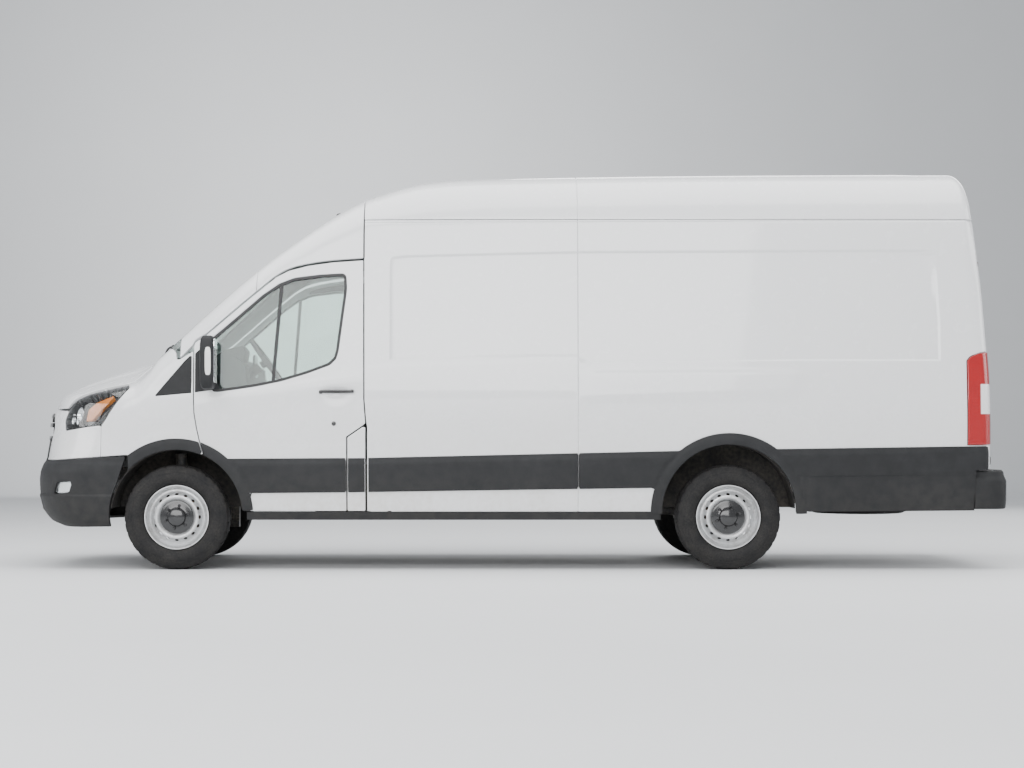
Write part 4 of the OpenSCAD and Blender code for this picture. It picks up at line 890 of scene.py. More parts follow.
glass, rubber = finish("tinted_glass", tinted_glass), finish("soft_rubber", soft_rubber)


def on_windshield(uv):
    """Windshield: u from 0 at its foot to 700 at its top, v across; both edges bow forwards at the
    middle."""
    t, s = uv[:, 0] / 700, uv[:, 1] / 780
    x = hood_back + 22 + 56 * s * s
    x = x + (glass_top - 34 * s * s - x) * t
    return on_top(np.stack([x, s * glass_line(x)], axis=-1))


shield_u, shield_v = lines(0, 700, 22), lines(-780, 780, 22)
shield = mesh_piece("windshield_glass", *pressing(shield_u, shield_v, on_windshield, box(0, 700, -780, 780),
                                                  6, 1.5), glass, "body", "glass")
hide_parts("windshield")
border = cut(box(2, 698, -778, 778), grown(box(66, 634, -722, 722), 26))
mesh_piece("windshield_border", *pressing(lines(0, 700, 14), lines(-780, 780, 14), on_windshield, border,
                                          0.8, 0.6, stand=1.2), rubber, "body", "trim")

bar = polygon((-1672, 1240), (-1650, 1240), (-1590, 1950), (-1614, 1950))
seal = cut(grown(window_outline, -1), grown(window_outline, -19))
pane_u, pane_v = lines(front_axle + 235, door_post - 100, 18), lines(1200, 2020, 18)
fine_u, fine_v = lines(front_axle + 235, door_post - 100, 9), lines(1200, 2020, 9)
for side, right in (("driver", False), ("passenger", True)):
    pane = mesh_piece(side + "_door_glass", *pressing(pane_u, pane_v, on_side, grown(window_outline, -2),
                                                      18, 1.5, stand=-12, right=right), glass,
                      side + "_door_body", "glass")
    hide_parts(side + "_window")
    channel = [pressing(fine_u, fine_v, on_side, seal, 11, 1.6, stand=-1, right=right),
               pressing(fine_u, fine_v, on_side, common(grown(window_outline, -10), bar), 11, 2, stand=-5,
                        right=right)]
    mesh_piece(side + "_window_seal", *stack(*channel), rubber, side + "_door_body", "trim")

# ---- Bumpers and cladding ----
# Grained charcoal plastic, moulded in one piece per panel and clipped on. The band along the side has a
# bevelled top, and a plain black strip below the painted sill is partly plastic and partly painted shade
# under the body.


def moulded_plastic(s):
    worn = (s.grain(2.2, 6) * s.grain(15, 5)).spread(0.12, 0.4)
    dust = s.height().spread(0.7, 0.25) * worn
    return s.surface(Base_Color=(dust * 0.5).tint(worn.tint((0.012, 0.0125, 0.0135), (0.018, 0.0185, 0.02)),
                                                  (0.05, 0.046, 0.04)), Roughness=s.grain(90, 4) * 0.15
                     + 0.5 + dust * 0.15, Specular_IOR_Level=0.3, Normal=s.grain(800, 3).bump(0.00025, 0.7))


plastic = finish("moulded_plastic", moulded_plastic)
bumper_side = polygon((front_axle - 1200, 292), (front_axle - 420, 292), (front_axle - 420, 530),
                      (front_axle - 337, 774), (front_axle - 880, 738), (front_axle - 1200, 738))
fog_outline = grown(polygon((front_axle - 830, 524), (front_axle - 812, 582), (front_axle - 724, 588),
                            (front_axle - 742, 534)), 12)


def bumper_edge(p):
    side, front = p[:, [0, 2]], p[:, 1:]
    return np.max([bumper_side(side) + 2,
                   front_arch_r + 10 - np.hypot(side[:, 0] - front_axle, side[:, 1] - front_arch_z),
                   4 - grille_outline(front), -intake_outline(front), -fog_outline(side)], axis=0)


def bumper_relief(p, skin):
    """The lower half stands proud of a crease, and a lip frames each opening."""
    z = skin[:, 2]
    lip = 5 * np.exp(-((intake_outline(skin[:, 1:]) - 16) / 12) ** 2)
    lip = lip + 4 * np.exp(-((fog_outline(skin[:, [0, 2]]) - 16) / 10) ** 2)
    return 8 * soft((512 - z) / 12) - 9 * soft((350 - z) / 60) + lip - 5 * soft((z - 705) / 30)


bumper_u, bumper_v = lines(-1400, 1400, 16), lines(292, 790, 15, (506, 14, 5), (730, 20, 6))
front_bumper = mesh_piece("front_bumper_cover", *pressing(bumper_u, bumper_v, on_nose, bumper_edge, 26, 4,
                                                          stand=14, relief=bumper_relief, flat=nose_faces),
                          plastic, "body", "plastic")
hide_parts("front_bumper")


def mesh_grid(front):
    """Open honeycomb: a hole round each point of a staggered lattice, 46 by 36 mm."""
    y, z = front.T
    row = np.round(z / 36)
    return 18 - np.hypot((y + 23 * (row % 2) + 4600) % 46 - 23, (z - row * 36) * 1.02)


grille_frame = cut(grown(grille_outline, -3), grown(grille_outline, -32))


def slats(front):
    """Three level bars."""
    z = front[:, 1]
    return np.min([np.abs(z - c) - 15 for c in (800, 892, 984)], axis=0)


def on_front(gap):
    """The same outline for points that carry x too."""
    return lambda p: gap(p[:, 1:])


grille_u = lines(-560, 560, 9)
grille_v = lines(694, 1072, 8)
parts = [pressing(grille_u, grille_v, on_nose, on_front(grille_frame), 26, 5, stand=9, flat=nose_faces),
         pressing(grille_u, grille_v, on_nose, on_front(common(grown(grille_outline, -20), slats)), 22, 5,
                  stand=3, flat=nose_faces)]
gloss_black = finish("gloss_black",
                     lambda s: s.surface(Base_Color=s.grain(60, 3).tint((0.010, 0.010, 0.011),
                                                                        (0.02, 0.02, 0.021)),
                                         Roughness=s.grain(40, 4) * 0.15 + 0.14, Coat_Weight=0.5,
                                         Coat_Roughness=0.06))
grille = mesh_piece("grille_frame", *stack(*parts), gloss_black, "body", "trim")
lattice = cut(grown(grille_outline, -6), lambda q: -mesh_grid(q))
low_lattice = cut(grown(intake_outline, 12), lambda q: -mesh_grid(q))
parts = [pressing(lines(-560, 560, 8), lines(694, 1072, 8), on_nose, on_front(lattice), 34, 1.2, stand=-24,
                  flat=nose_faces), pressing(lines(-640, 640, 8), lines(420, 620, 8), on_nose,
                                             on_front(low_lattice), 28, 1.2, stand=-18, flat=nose_faces)]
mesh_piece("grille_mesh", *stack(*parts), plastic, "body", "trim")
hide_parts("grille")

band = polygon((door_post - 1500, 515), (door_post - 1500, 751), (door_post, 759), (rear_axle, 815),
               (rear_x - 118, 841), (rear_x + 300, 845), (rear_x + 300, 678), (rear_x - 260, 678),
               (rear_x - 260, 403), (rear_axle + 200, 392), (rear_axle, 565), (door_post, 529))
front_ring, rear_ring = disc(front_axle, front_arch_z, front_arch_r + 78), disc(rear_axle, rear_arch_z,
        rear_arch_r + 78)


def band_relief(q, skin):
    """Bevelled top edge, a crease behind the rear arch, and arch trims that fall away at their outer
    edge."""
    x, z = q.T
    top = np.interp(x, [door_post - 1500, door_post, rear_axle, rear_x - 118], [751, 759, 815, 841])
    arch = np.minimum(np.hypot(x - front_axle, z - front_arch_z),
                      np.hypot(x - rear_axle, z - rear_arch_z)) - front_arch_r
    near = arch < 86
    bevel = -7 * soft((z - top + 46) / 44)
    crease = -5 * soft((632 + 0.012 * (x - rear_axle) - z) / 9) * (x > rear_axle + 520)
    return np.where(near, -6 * soft((arch - 48) / 30), bevel + crease)


clad_u = lines(door_post, rear_x - 60, 34, (412, 8, 2.6), (rear_axle, 545, 17), (rear_x - 150, 80, 11))
clad_v = lines(sill_z - 16, 930, 19, (760, 90, 11), (633, 16, 5))
band_cut = cut(joined(band, rear_ring), rear_arch, box(rear_axle - rear_arch_r, rear_axle + rear_arch_r, 0,
                                                       rear_arch_z),
               box(door_post + 500, rear_axle - rear_arch_r - 98, 0, 397),
               box(rear_axle - 900, rear_axle + 900, 0, 381), box(-3000, door_post + 26, 0, 2000),
               box(410, 414, 0, 1000))


def tail_end(q):
    """How far a point of the side lies past the end of the cladding, by the rear corner."""
    p = on_side(q)
    return (p[:, 0] > rear_x - 420) * (p[:, 0] - tail_line(p[:, 2]) + 52) - 1e3 * (q[:, 0] < rear_x - 420)


front_trim = cut(front_ring, front_arch, box(front_axle - 700, front_axle + 700, 0, sill_z + 4),
                 box(front_axle - 700, front_axle - 337, 0, 782))
trim_u, trim_v = lines(front_axle - 340, front_axle + 200, 15), lines(sill_z, 910, 14)
clads = []
for right in (False, True):
    clads.append(pressing(clad_u, clad_v, on_side, common(band_cut, tail_end), 11, 4, stand=14,
                          relief=band_relief, right=right))
    clads.append(pressing(trim_u, trim_v, on_side, cut(front_trim, grown(door_outline(), 4.5)), 11, 4,
                          stand=14, relief=band_relief, right=right))
clad = mesh_piece("side_cladding", *stack(*clads), plastic, "body", "plastic")
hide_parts("body_cladding")
door_band = cut(joined(polygon((door_post - 1500, 515), (door_post - 1500, 751), (door_post + 30, 760),
                               (door_post + 30, 529)), front_trim), grown(front_arch, 1),
                box(-3000, front_axle + 300, 0, sill_z + 4))
door_clad_u, door_clad_v = lines(front_axle + 120, door_post + 20, 18, (flap_x, 12, 5),
                                 (door_post + 10, 14, 5)), lines(sill_z, 910, 13)
for side, notch, right in (("driver", True, False), ("passenger", False, True)):
    panel = mesh_piece(side + "_door_band", *pressing(door_clad_u, door_clad_v, on_side,
                                                      common(door_band, grown(door_outline(notch), -5.5)),
                                                      11, 4, stand=14, relief=band_relief, right=right),
                       plastic, side + "_door_body", "plastic")
    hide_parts(side + "_door_cladding")
mesh_piece("filler_flap_band", *pressing(lines(flap_x, door_post + 17, 6), lines(500, 780, 8), on_side,
                                         common(polygon((flap_x, 527), (flap_x, 758), (door_post + 17, 759),
                                                        (door_post + 17, 529)), grown(flap_outline, -8)),
                                         13, 4, stand=13.5, relief=band_relief), plastic, "filler_flap",
           "plastic")
# The black strip below the painted sill is partly a plastic strip and partly painted shade under the body.
sill = box(front_axle + 452, rear_axle - 462, 338, 392)
shaded_sill_sheets = [pressing(lines(front_axle + 440, rear_axle - 455, 40), lines(330, 396, 6), on_side, sill, 26, 4,
                   stand=2, right=s) for s in (False, True)]
mesh_piece("sill_strips_with_painted_shade", *stack(*shaded_sill_sheets), plastic, "body", "plastic")


def carried(path, profile):
    """Surface of a closed profile carried along a path in plan: each path point's outward direction is
    square to the path, and the profile gives the distance out and the height."""
    path, profile = np.array(path, float), np.array(profile, float)
    along = np.gradient(path, axis=0)
    out = np.stack([along[:, 1], -along[:, 0]], axis=-1)
    out /= np.linalg.norm(out, axis=-1, keepdims=True)
    grid = np.concatenate([(path[:, None, :] + out[:, None, :] * profile[None, :, :1]),
                           np.broadcast_to(profile[None, :, 1:], (len(path), len(profile), 1))], axis=-1)
    return loft(grid)


def loft(rings):
    """Skin over a stack of closed rings. Both ends are drawn in half way to their middles; the faces of the
    last half repeat a corner, so Blender drops them and each end keeps an opening."""
    first, last = (np.broadcast_to(r.mean(axis=0, keepdims=True), r.shape) for r in (rings[0], rings[-1]))
    rings = np.concatenate([first[None], (0.5 * (first + rings[0]))[None], rings,
                            (0.5 * (last + rings[-1]))[None], last[None]])
    n, m = rings.shape[:2]
    i, j = np.meshgrid(np.arange(n - 1), np.arange(m), indexing="ij")
    k = (j + 1) % m
    quads = np.stack([i * m + j, i * m + k, (i + 1) * m + k, (i + 1) * m + j], axis=-1).reshape(-1, 4)
    points = rings.reshape(-1, 3)
    quads = np.where(quads < m, 0, quads)
    quads = np.where(quads >= (n - 1) * m, (n - 1) * m, quads)
    a, b, c = (points[quads[:, t]] for t in (0, 1, 2))
    normal = np.cross(b - a, c - a)
    if (normal * (a + b + c)).sum() / 6 - (normal * points.mean(axis=0)).sum() / 2 < 0:
        quads = quads[:, ::-1]
    return points, quads


def rounded(points, r, n=5):
    """Closed outline whose corners are turned by arcs of radius r, as quadratic curves between tangent
    points."""
    p = np.array(points, float)
    back, on = np.roll(p, 1, axis=0) - p, np.roll(p, -1, axis=0) - p
    back *= np.minimum(r / np.linalg.norm(back, axis=1), 0.45)[:, None]
    on *= np.minimum(r / np.linalg.norm(on, axis=1), 0.45)[:, None]
    t = np.linspace(0, 1, n)[None, :, None]
    return (p[:, None] + back[:, None] * (1 - t) ** 2 + on[:, None] * t ** 2).reshape(-1, 2)


half_plan = np.array([(rear_x - 250, -1004), (rear_x - 90, -1000), (rear_x - 44, -976), (rear_x - 14, -900),
                      (rear_x - 2, -780), (rear_x, -400), (rear_x, 0)])
reach_along = np.r_[0, np.cumsum(np.hypot(*np.diff(half_plan, axis=0).T))]
s = np.linspace(0, reach_along[-1], 34)
plan = np.stack([np.interp(s, reach_along, half_plan[:, 0]), np.interp(s, reach_along, half_plan[:, 1])],
                axis=-1)
plan = np.concatenate([plan, (plan * [1, -1])[-2::-1]])
section = rounded([(-58, 412), (-6, 412), (-1, 470), (0, 604), (-16, 636), (-22, 672), (-96, 672),
                   (-96, 650), (-58, 630)], 12)
rear_bumper = mesh_piece("rear_bumper_cover", *carried(plan, section), plastic, "body", "plastic")
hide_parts("rear_bumper")

# ---- Lamps ----
# Headlamps sit in gloss black housings behind clear hard-coated lenses, with three chromed bowls and an
# amber indicator. Tail lamps are red acrylic with a clear window, fluted and clipped into the rear corners.


def clear_plastic(s):
    return s.surface(Base_Color=s.grain(9, 3).tint((0.93, 0.95, 0.96), (0.97, 0.98, 0.98)),
                     Roughness=s.grain(30, 4) * 0.03 + 0.01, Transmission_Weight=1.0, IOR=1.38)


def chrome(s):
    return s.surface(Base_Color=s.grain(50, 3).tint((0.80, 0.81, 0.82), (0.88, 0.88, 0.89)), Metallic=1.0,
                     Roughness=s.grain(80, 3) * 0.12 + 0.07)


def amber_plastic(s):
    return s.surface(Base_Color=s.grain(30, 3).tint((0.75, 0.20, 0.015), (0.85, 0.28, 0.03)),
                     Roughness=s.grain(60, 3) * 0.1 + 0.12, Normal=s.grain(220, 1).bump(0.001, 0.5),
                     Coat_Weight=0.5, Coat_Roughness=0.05)


def tail_lens(s):
    z = s.height()
    x = s.make("SeparateXYZ", {}, {"Vector": s.place()})
    clear = z.spread(1.055, 1.06) * z.spread(1.262, 1.257) * x.spread(3.135, 3.14)
    flutes = s.make("TexWave", {"bands_direction": "Z", "wave_type": "BANDS"},
                    {"Vector": s.place(), "Scale": 32.0})
    red = s.grain(14, 3).tint((0.30, 0.002, 0.004), (0.38, 0.004, 0.006))
    return s.surface(Base_Color=clear.tint(red, (0.80, 0.78, 0.78)), Roughness=s.grain(60, 3) * 0.08 + 0.07,
                     Normal=flutes.bump(0.0012, 0.6), Coat_Weight=1.0, Coat_Roughness=0.03)


clear, bright, amber = finish("clear_plastic", clear_plastic), finish("chrome",
                                                                      chrome), finish("amber_plastic",
                                                                              amber_plastic)
red_lens = finish("tail_lens", tail_lens)
lamp_u, lamp_v = lines(560, 1420, 11), lines(935, 1262, 10)


def beside(gap):
    """An outline drawn in side view, on the outer part of the nose only."""
    return lambda p: np.maximum(gap(p[:, [0, 2]]), 600 + p[:, 1])


def turned(profile, centre, axis, n=48):
    """Profile of radius and height, turned round an axis through the centre."""
    profile, axis = np.array(profile, float), np.array(axis, float)
    axis /= np.linalg.norm(axis)
    side = np.cross(axis, [0.0, 0.0, 1.0] if abs(axis[2]) < 0.9 else [1.0, 0.0, 0.0])
    side /= np.linalg.norm(side)
    up = np.cross(axis, side)
    t = np.linspace(0, 2 * math.pi, n, endpoint=False)
    ring = np.cos(t)[:, None] * side + np.sin(t)[:, None] * up
    grid = np.array(centre) + profile[:, None, :1] * ring[None] + profile[:, None, 1:] * axis
    points = grid.reshape(-1, 3)
    i, j = np.meshgrid(np.arange(len(profile)), np.arange(n), indexing="ij")
    k = np.roll(np.arange(len(profile)), -1)[:, None]
    quads = np.stack([i * n + j, i * n + (j + 1) % n, k * n + (j + 1) % n, k * n + j],
                     axis=-1).reshape(-1, 4)
    a, b, c = (points[quads[:, s]] - np.array(centre) for s in (0, 1, 2))
    return points, quads if (np.cross(b - a, c - a) * (a + b + c)).sum() > 0 else quads[:, ::-1]


def bowl(r, deep, rim=4):
    """Section of a dished reflector with a rolled rim: a parabola and its back, 3 mm behind."""
    t = np.linspace(1, 0.02, 14)
    return [*zip(r * t, -deep * (1 - t * t)), *zip(r * t[::-1], -deep * (1 - t[::-1] ** 2) - 3),
            (r + rim, -3), (r + rim, 1)]


def nose_place(x, z, sink=0.0):
    """Point of the nose's side at x and z, sunk under the skin, and the skin's direction there."""
    p = on_side(np.array([[x, z]], float))[0] if x > nose_start else reach(
        np.array([[x, 0.0, z]]), np.array([[0, -1.0, 0]]), 1400)[0]
    n = outward(p[None])[0]
    return p - sink * n, n


housings, bowls, ambers, lenses = [], [], [], []
amber_outline = polygon((front_axle - 648, 1010), (front_axle - 600, 1010), (front_axle - 500, 1120),
                        (front_axle - 430, 1206), (front_axle - 560, 1150), (front_axle - 632, 1090))
for right in (False, True):
    flip = np.array([1, -1 if right else 1, 1])
    housings.append(pressing(lamp_u, lamp_v, on_nose, beside(grown(head_lamp_outline, -2)), 74, 3,
                             stand=-58, flat=nose_faces, right=right))
    housings.append(pressing(lamp_u, lamp_v, on_nose,
                             beside(cut(grown(head_lamp_outline, -1), grown(head_lamp_outline, -13))), 60,
                             2, stand=-7, flat=nose_faces, right=right))
    lenses.append(pressing(lamp_u, lamp_v, on_nose, beside(grown(head_lamp_outline, -0.5)), 3.5, 1.5,
                           stand=0.5, flat=nose_faces, right=right))
    ambers.append(pressing(lines(560, 1420, 6), lines(990, 1215, 6), on_nose, beside(amber_outline), 42, 3,
                           stand=-26, flat=nose_faces, right=right))
    for x, z, r in ((front_axle - 695, 1062, 46), (front_axle - 752, 1016, 26),
                    (front_axle - 712, 1010, 20)):
        p, n = nose_place(x, z, 24)
        n = n + [-0.35, 0, 0]
        points, quads = turned(bowl(r, r * 0.75), p, n)
        bowls.append((points * flip, quads[:, ::-1] if right else quads))
# The bonnet gap seals below are a black sheet sunk behind the wide gap between headlamp and bonnet: painted
# shade standing in for the dark shut gap.
gap_shade_outline = beside(cut(grown(head_lamp_outline, 34), grown(head_lamp_outline, -4), grown(hood_outline, 5)))
gap_shade_sheets = [pressing(lamp_u, lamp_v, on_nose, gap_shade_outline, 30, 2, stand=-9, flat=nose_faces, right=s)
             for s in (False, True)]
mesh_piece("bonnet_gap_shade_sheets", *stack(*gap_shade_sheets), rubber, "body", "trim")
housing = mesh_piece("headlamp_housings", *stack(*housings), gloss_black, "body", "lamp")
mesh_piece("headlamp_bowls", *stack(*bowls), bright, "body", "lamp")
mesh_piece("headlamp_indicators", *stack(*ambers), amber, "body", "lamp")
mesh_piece("headlamp_lenses", *stack(*lenses), clear, "body", "lamp")
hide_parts("headlamps")
fogs = [pressing(lines(700, 1250, 6), lines(505, 610, 6), on_nose, beside(grown(fog_outline, -4)), 30, 3,
                 stand=-8, flat=nose_faces, right=s) for s in (False, True)]
mesh_piece("fog_lamp_housings", *stack(*fogs), bright, "body", "lamp")
fogs = [pressing(lines(700, 1250, 6), lines(505, 610, 6), on_nose, beside(grown(fog_outline, -3)), 6, 2,
                 stand=2, flat=nose_faces, right=s) for s in (False, True)]
mesh_piece("fog_lamp_lenses", *stack(*fogs), clear, "body", "lamp")

tail_u = lines(rear_x - 320, rear_x - 10, 12, (rear_x - 312, 8, 4), (rear_x - 120, 100, 7))
tails = [pressing(tail_u, lines(845, 1482, 12, (1460, 24, 5)), on_side,
                  common(grown(tail_lamp_outline, -1), rear_edge_gap), 44, 4, stand=5, right=s)
         for s in (False, True)]
tail = mesh_piece("tail_lamp_lenses", *stack(*tails), red_lens, "body", "red_lamp")
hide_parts("tail_lamps")
stop = [pressing(lines(-180, 180, 12), lines(2604, 2626, 4), on_tail, box(-170, 170, 2606, 2624), 12, 3,
                 stand=6)]
mesh_piece("high_stop_lamp", *stack(*stop), red_lens, "body", "red_lamp")

# ---- Wheels ----
# Pressed steel wheels: a silver disc with sixteen oval vents welded into a rolled rim, a black cap on the hub
# and a ring of nuts. The tyres are black rubber with four grooves, cut shoulder blocks and a plain side wall.


def tyre_rubber(s):
    dust = (s.grain(12, 6) * s.grain(90, 4)).spread(0.13, 0.4)
    return s.surface(Base_Color=(dust * 0.5).tint((0.009, 0.009, 0.010), (0.038, 0.035, 0.031)),
                     Roughness=s.grain(120, 4) * 0.2 + 0.6, Specular_IOR_Level=0.25,
                     Normal=s.grain(700, 3).bump(0.0003, 0.6))


def wheel_paint(s):
    dust = (s.grain(10, 6) * s.grain(60, 4)).spread(0.14, 0.42)
    return s.surface(Base_Color=(dust * 0.4).tint((0.60, 0.61, 0.62), (0.24, 0.21, 0.18)), Metallic=0.85,
                     Roughness=s.grain(160, 3) * 0.15 + 0.27 + dust * 0.2,
                     Normal=s.grain(900, 2).bump(0.00008, 0.5))


def cast_iron(s):
    rust = (s.grain(18, 6) * s.grain(80, 4)).spread(0.16, 0.36)
    return s.surface(Base_Color=rust.tint((0.16, 0.16, 0.165), (0.22, 0.10, 0.045)), Metallic=0.6,
                     Roughness=s.grain(70, 5) * 0.35 + 0.35, Normal=s.grain(300, 4).bump(0.0005, 0.7))


tread_rubber, silver, iron = finish("tyre_rubber", tyre_rubber), finish("wheel_paint",
                                                                        wheel_paint), finish("cast_iron",
                                                                                cast_iron)
cover(iron, "left_knuckle", "right_knuckle")
half_tyre = [(207, 74), (223, 75), (225, 92), (236, 106), (252, 113), (262, 117.4), (282, 117.5),
             (300, 116.6), (302, 115.4), (304, 116.4), (316, 114), (326, 110), (331, 107), (341, 104),
             (347.5, 99), (351.8, 91)]
tread_y = [82, 67.5, 66, 58, 56.5, 42, 28.5, 27, 19, 17.5]
tread_r = 356 - 2.2 * (np.array(tread_y) / 82) ** 2
half = np.array(half_tyre + [*zip(tread_r, tread_y)])
section = np.concatenate([half, [[356, 6]], (half * [1, -1])[::-1],
                          [[205.5, -60], [205.5, 0], [205.5, 60]]])


def tyre_shape(centre, n=180, axis="y"):
    """Tyre section turned round the axle. Grooves are cut where the section crosses them, and every
    sixth step round the shoulders is a cut too; small cuts cross the ribs between."""
    r, y = section.T
    t = np.arange(n) * 2 * math.pi / n
    groove = 7.5 * ((np.abs(np.abs(y) - 62) < 4.5) | (np.abs(np.abs(y) - 23) < 4.5)) * (r > 340)
    shoulder = (r > 340) * (np.abs(y) > 67)
    rib = (r > 350) * (np.abs(y) < 57) * (groove == 0)
    step = np.arange(n)[:, None]
    shift = np.where(y > 0, 0, 3)[None]
    outer_cut = (step + shift) % 6 == 0
    rib_cut = (step + (np.abs(y) > 30)[None] * 2) % 4 == 0
    deep = groove[None] + 6 * shoulder[None] * outer_cut + 2.5 * rib[None] * rib_cut
    radius = r[None] - np.minimum(deep, 7.5)
    around = np.stack([np.cos(t)[:, None] * radius, np.broadcast_to(y, radius.shape),
                       np.sin(t)[:, None] * radius], axis=-1)
    if axis == "z":
        around = around[..., [0, 2, 1]]
    points = (around + np.array(centre)).reshape(-1, 3)
    m = len(r)
    i, j = np.meshgrid(np.arange(n), np.arange(m), indexing="ij")
    quads = np.stack([i * m + j, i * m + (j + 1) % m, ((i + 1) % n) * m + (j + 1) % m,
                      ((i + 1) % n) * m + j], axis=-1).reshape(-1, 4)
    a, b, c = (points[quads[:, s]] - np.array(centre) for s in (0, 1, 2))
    return points, quads if (np.cross(b - a, c - a) * (a + b + c)).sum() > 0 else quads[:, ::-1]


dish = smooth_curve((0, 66), (58, 66), (70, 72), (100, 66), (116, 70), (128, 84), (138, 87), (150, 84),
                    (162, 66), (174, 54), (188, 50), (204, 50))
vent = np.arange(16) * math.pi / 8
vent_at = 157 * np.stack([np.cos(vent), np.sin(vent)], axis=-1)


def vents(q):
    """Gap to the nearest of sixteen ovals, longer round the wheel than across."""
    d = q[:, None] - vent_at
    across = (d * vent_at / 157).sum(-1)
    along = d[..., 1] * vent_at[:, 0] / 157 - d[..., 0] * vent_at[:, 1] / 157
    return np.min((np.hypot(along / 1.6, across) - 8.5), axis=1)


def disc_face(side):
    """Pressed disc: over each point of the wheel's plane, the dish's depth at that radius."""
    def place(uv):
        return np.stack([uv[:, 0], side * dish(np.hypot(*uv.T)), uv[:, 1]], axis=-1)
    return place


rim_band = [(219, -92), (219, -84), (205.3, -76), (205.3, -58), (180, -40), (180, 34), (205.3, 54),
            (205.3, 76), (219, 84), (219, 92), (212, 92), (201, 78), (199, 60), (174, 38), (174, -44),
            (200, -62), (201, -80), (212, -92)]
brake = [(58, -12), (150, -12), (150, -4), (92, -4), (92, 4), (150, 4), (150, 12), (72, 12), (72, 46),
         (0.5, 46), (0.5, -12)]
hub_cap = [(0.5, 108), (44, 106), (56, 100), (64, 86), (78, 80), (100, 82), (112, 78), (116, 70), (110, 66),
           (60, 60), (0.5, 60)]
nut = [(0.5, 99), (7, 99), (10, 96), (11, 84), (11, 62), (0.5, 62)]
for node, side, x, body in (("front_left", -1, front_axle, "front_left_wheel"),
                            ("front_right", 1, front_axle, "front_right_wheel"),
                            ("rear_left", -1, rear_axle, "rear_left_wheel"),
                            ("rear_right", 1, rear_axle, "rear_right_wheel")):
    centre = np.array([x, side * 870, axle_z])
    tyre = mesh_piece(node + "_tread", *tyre_shape(centre), tread_rubber, body, "tyre", turn=30)
    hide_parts(node + "_tyre")
    plate, faces = pressing(lines(-200, 200, 8), lines(-200, 200, 8), disc_face(side),
                            cut(disc(0, 0, 196), vents, disc(0, 0, 30)), 4, 1.5, normals=side)
    band_points, band_faces = turned(np.array(rim_band) * [1, 1], (0, 0, 0), (0, side, 0), 72)
    points, faces = stack((plate, faces), (band_points, band_faces))
    wheel = mesh_piece(node + "_wheel_disc", points + centre, faces, silver, body, "wheel", turn=35)
    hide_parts(node + "_rim")
    mesh_piece(node + "_brake_disc", *turned(brake, centre, (0, side, 0), 64), iron, body, "wheel")
    ring = [turned(nut, centre + 81 * np.array([math.cos(a), 0, math.sin(a)]), (0, side, 0), 6)
            for a in np.arange(6) * math.pi / 3 + 0.3]
    mesh_piece(node + "_hub_cap", *stack(turned(hub_cap, centre, (0, side, 0), 48), *ring), gloss_black,
               body, "trim", turn=30)
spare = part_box("spare_wheel")
spare_centre = [500 * (spare[0][i] + spare[1][i]) for i in range(3)]
spare_tyre = mesh_piece("spare_tyre_tread", *tyre_shape(spare_centre, 120, "z"), tread_rubber, "body",
                        "tyre", turn=30)
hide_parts("spare_wheel")
mesh_piece("spare_wheel_disc",
           *turned([(219, -92), (205, -70), (180, -40), (180, 34), (205, 60), (219, 92), (212, 92),
                    (198, 60), (172, 38), (120, 30), (60, 36), (0.5, 36), (0.5, 30), (60, 30), (118, 24),
                    (172, 26), (172, -44), (200, -70), (212, -92)], spare_centre, (0, 0, -1), 64), silver,
           "body", "wheel")

# ---- Mirrors, handles and wipers ----
# Black grained housings on short arms with a slim frosted side lamp and a flat mirror glass behind, pull
# handles over the dished cups in the doors, and two sprung wiper arms on the glass.


def blob(centre, half, power=0.45, n=28, m=16):
    """Box with swollen faces: a sphere's angles, their sines and cosines raised to a power below one."""
    t, f = np.meshgrid(np.linspace(0, 2 * math.pi, n, endpoint=False),
                       np.linspace(-math.pi / 2, math.pi / 2, m), indexing="xy")

    def lift(x):
        return np.sign(x) * np.abs(x) ** power

    rings = np.stack([lift(np.cos(f)) * lift(np.cos(t)), lift(np.cos(f)) * lift(np.sin(t)),
                      lift(np.sin(f))], axis=-1)
    return loft(rings[1:-1] * np.array(half) + np.array(centre))


def tube(path, radius, n=12):
    """Round bar along a path: rings square to it, drawn in at both ends."""
    path = np.array(path, float)
    along = np.gradient(path, axis=0)
    along /= np.linalg.norm(along, axis=-1, keepdims=True)
    side = np.cross(along, [0.13, 0.21, 0.97])
    side /= np.linalg.norm(side, axis=-1, keepdims=True)
    up = np.cross(along, side)
    t = np.linspace(0, 2 * math.pi, n, endpoint=False)
    r = np.broadcast_to(np.asarray(radius, float), (len(path),))[:, None, None]
    ring = np.cos(t)[None, :, None] * side[:, None] + np.sin(t)[None, :, None] * up[:, None]
    return loft(path[:, None] + r * ring)


def swing(path, n=40):
    """Smooth line through a few points, evenly resampled by monotone curves over its length."""
    path = np.array(path, float)
    s = np.r_[0, np.cumsum(np.linalg.norm(np.diff(path, axis=0), axis=1))]
    return np.stack([smooth_curve(*zip(s, path[:, k]))(np.linspace(0, s[-1], n)) for k in range(3)],
                    axis=-1)


def flipped(sheet, right):
    """The same mesh on the other side of the van."""
    points, faces = sheet
    return (points * [1, -1, 1], faces[:, ::-1]) if right else (points, faces)


def mirror_glass(s):
    return s.surface(Base_Color=s.grain(6, 2).tint((0.80, 0.82, 0.84), (0.86, 0.87, 0.88)), Metallic=1.0,
                     Roughness=s.grain(40, 3) * 0.03 + 0.02)


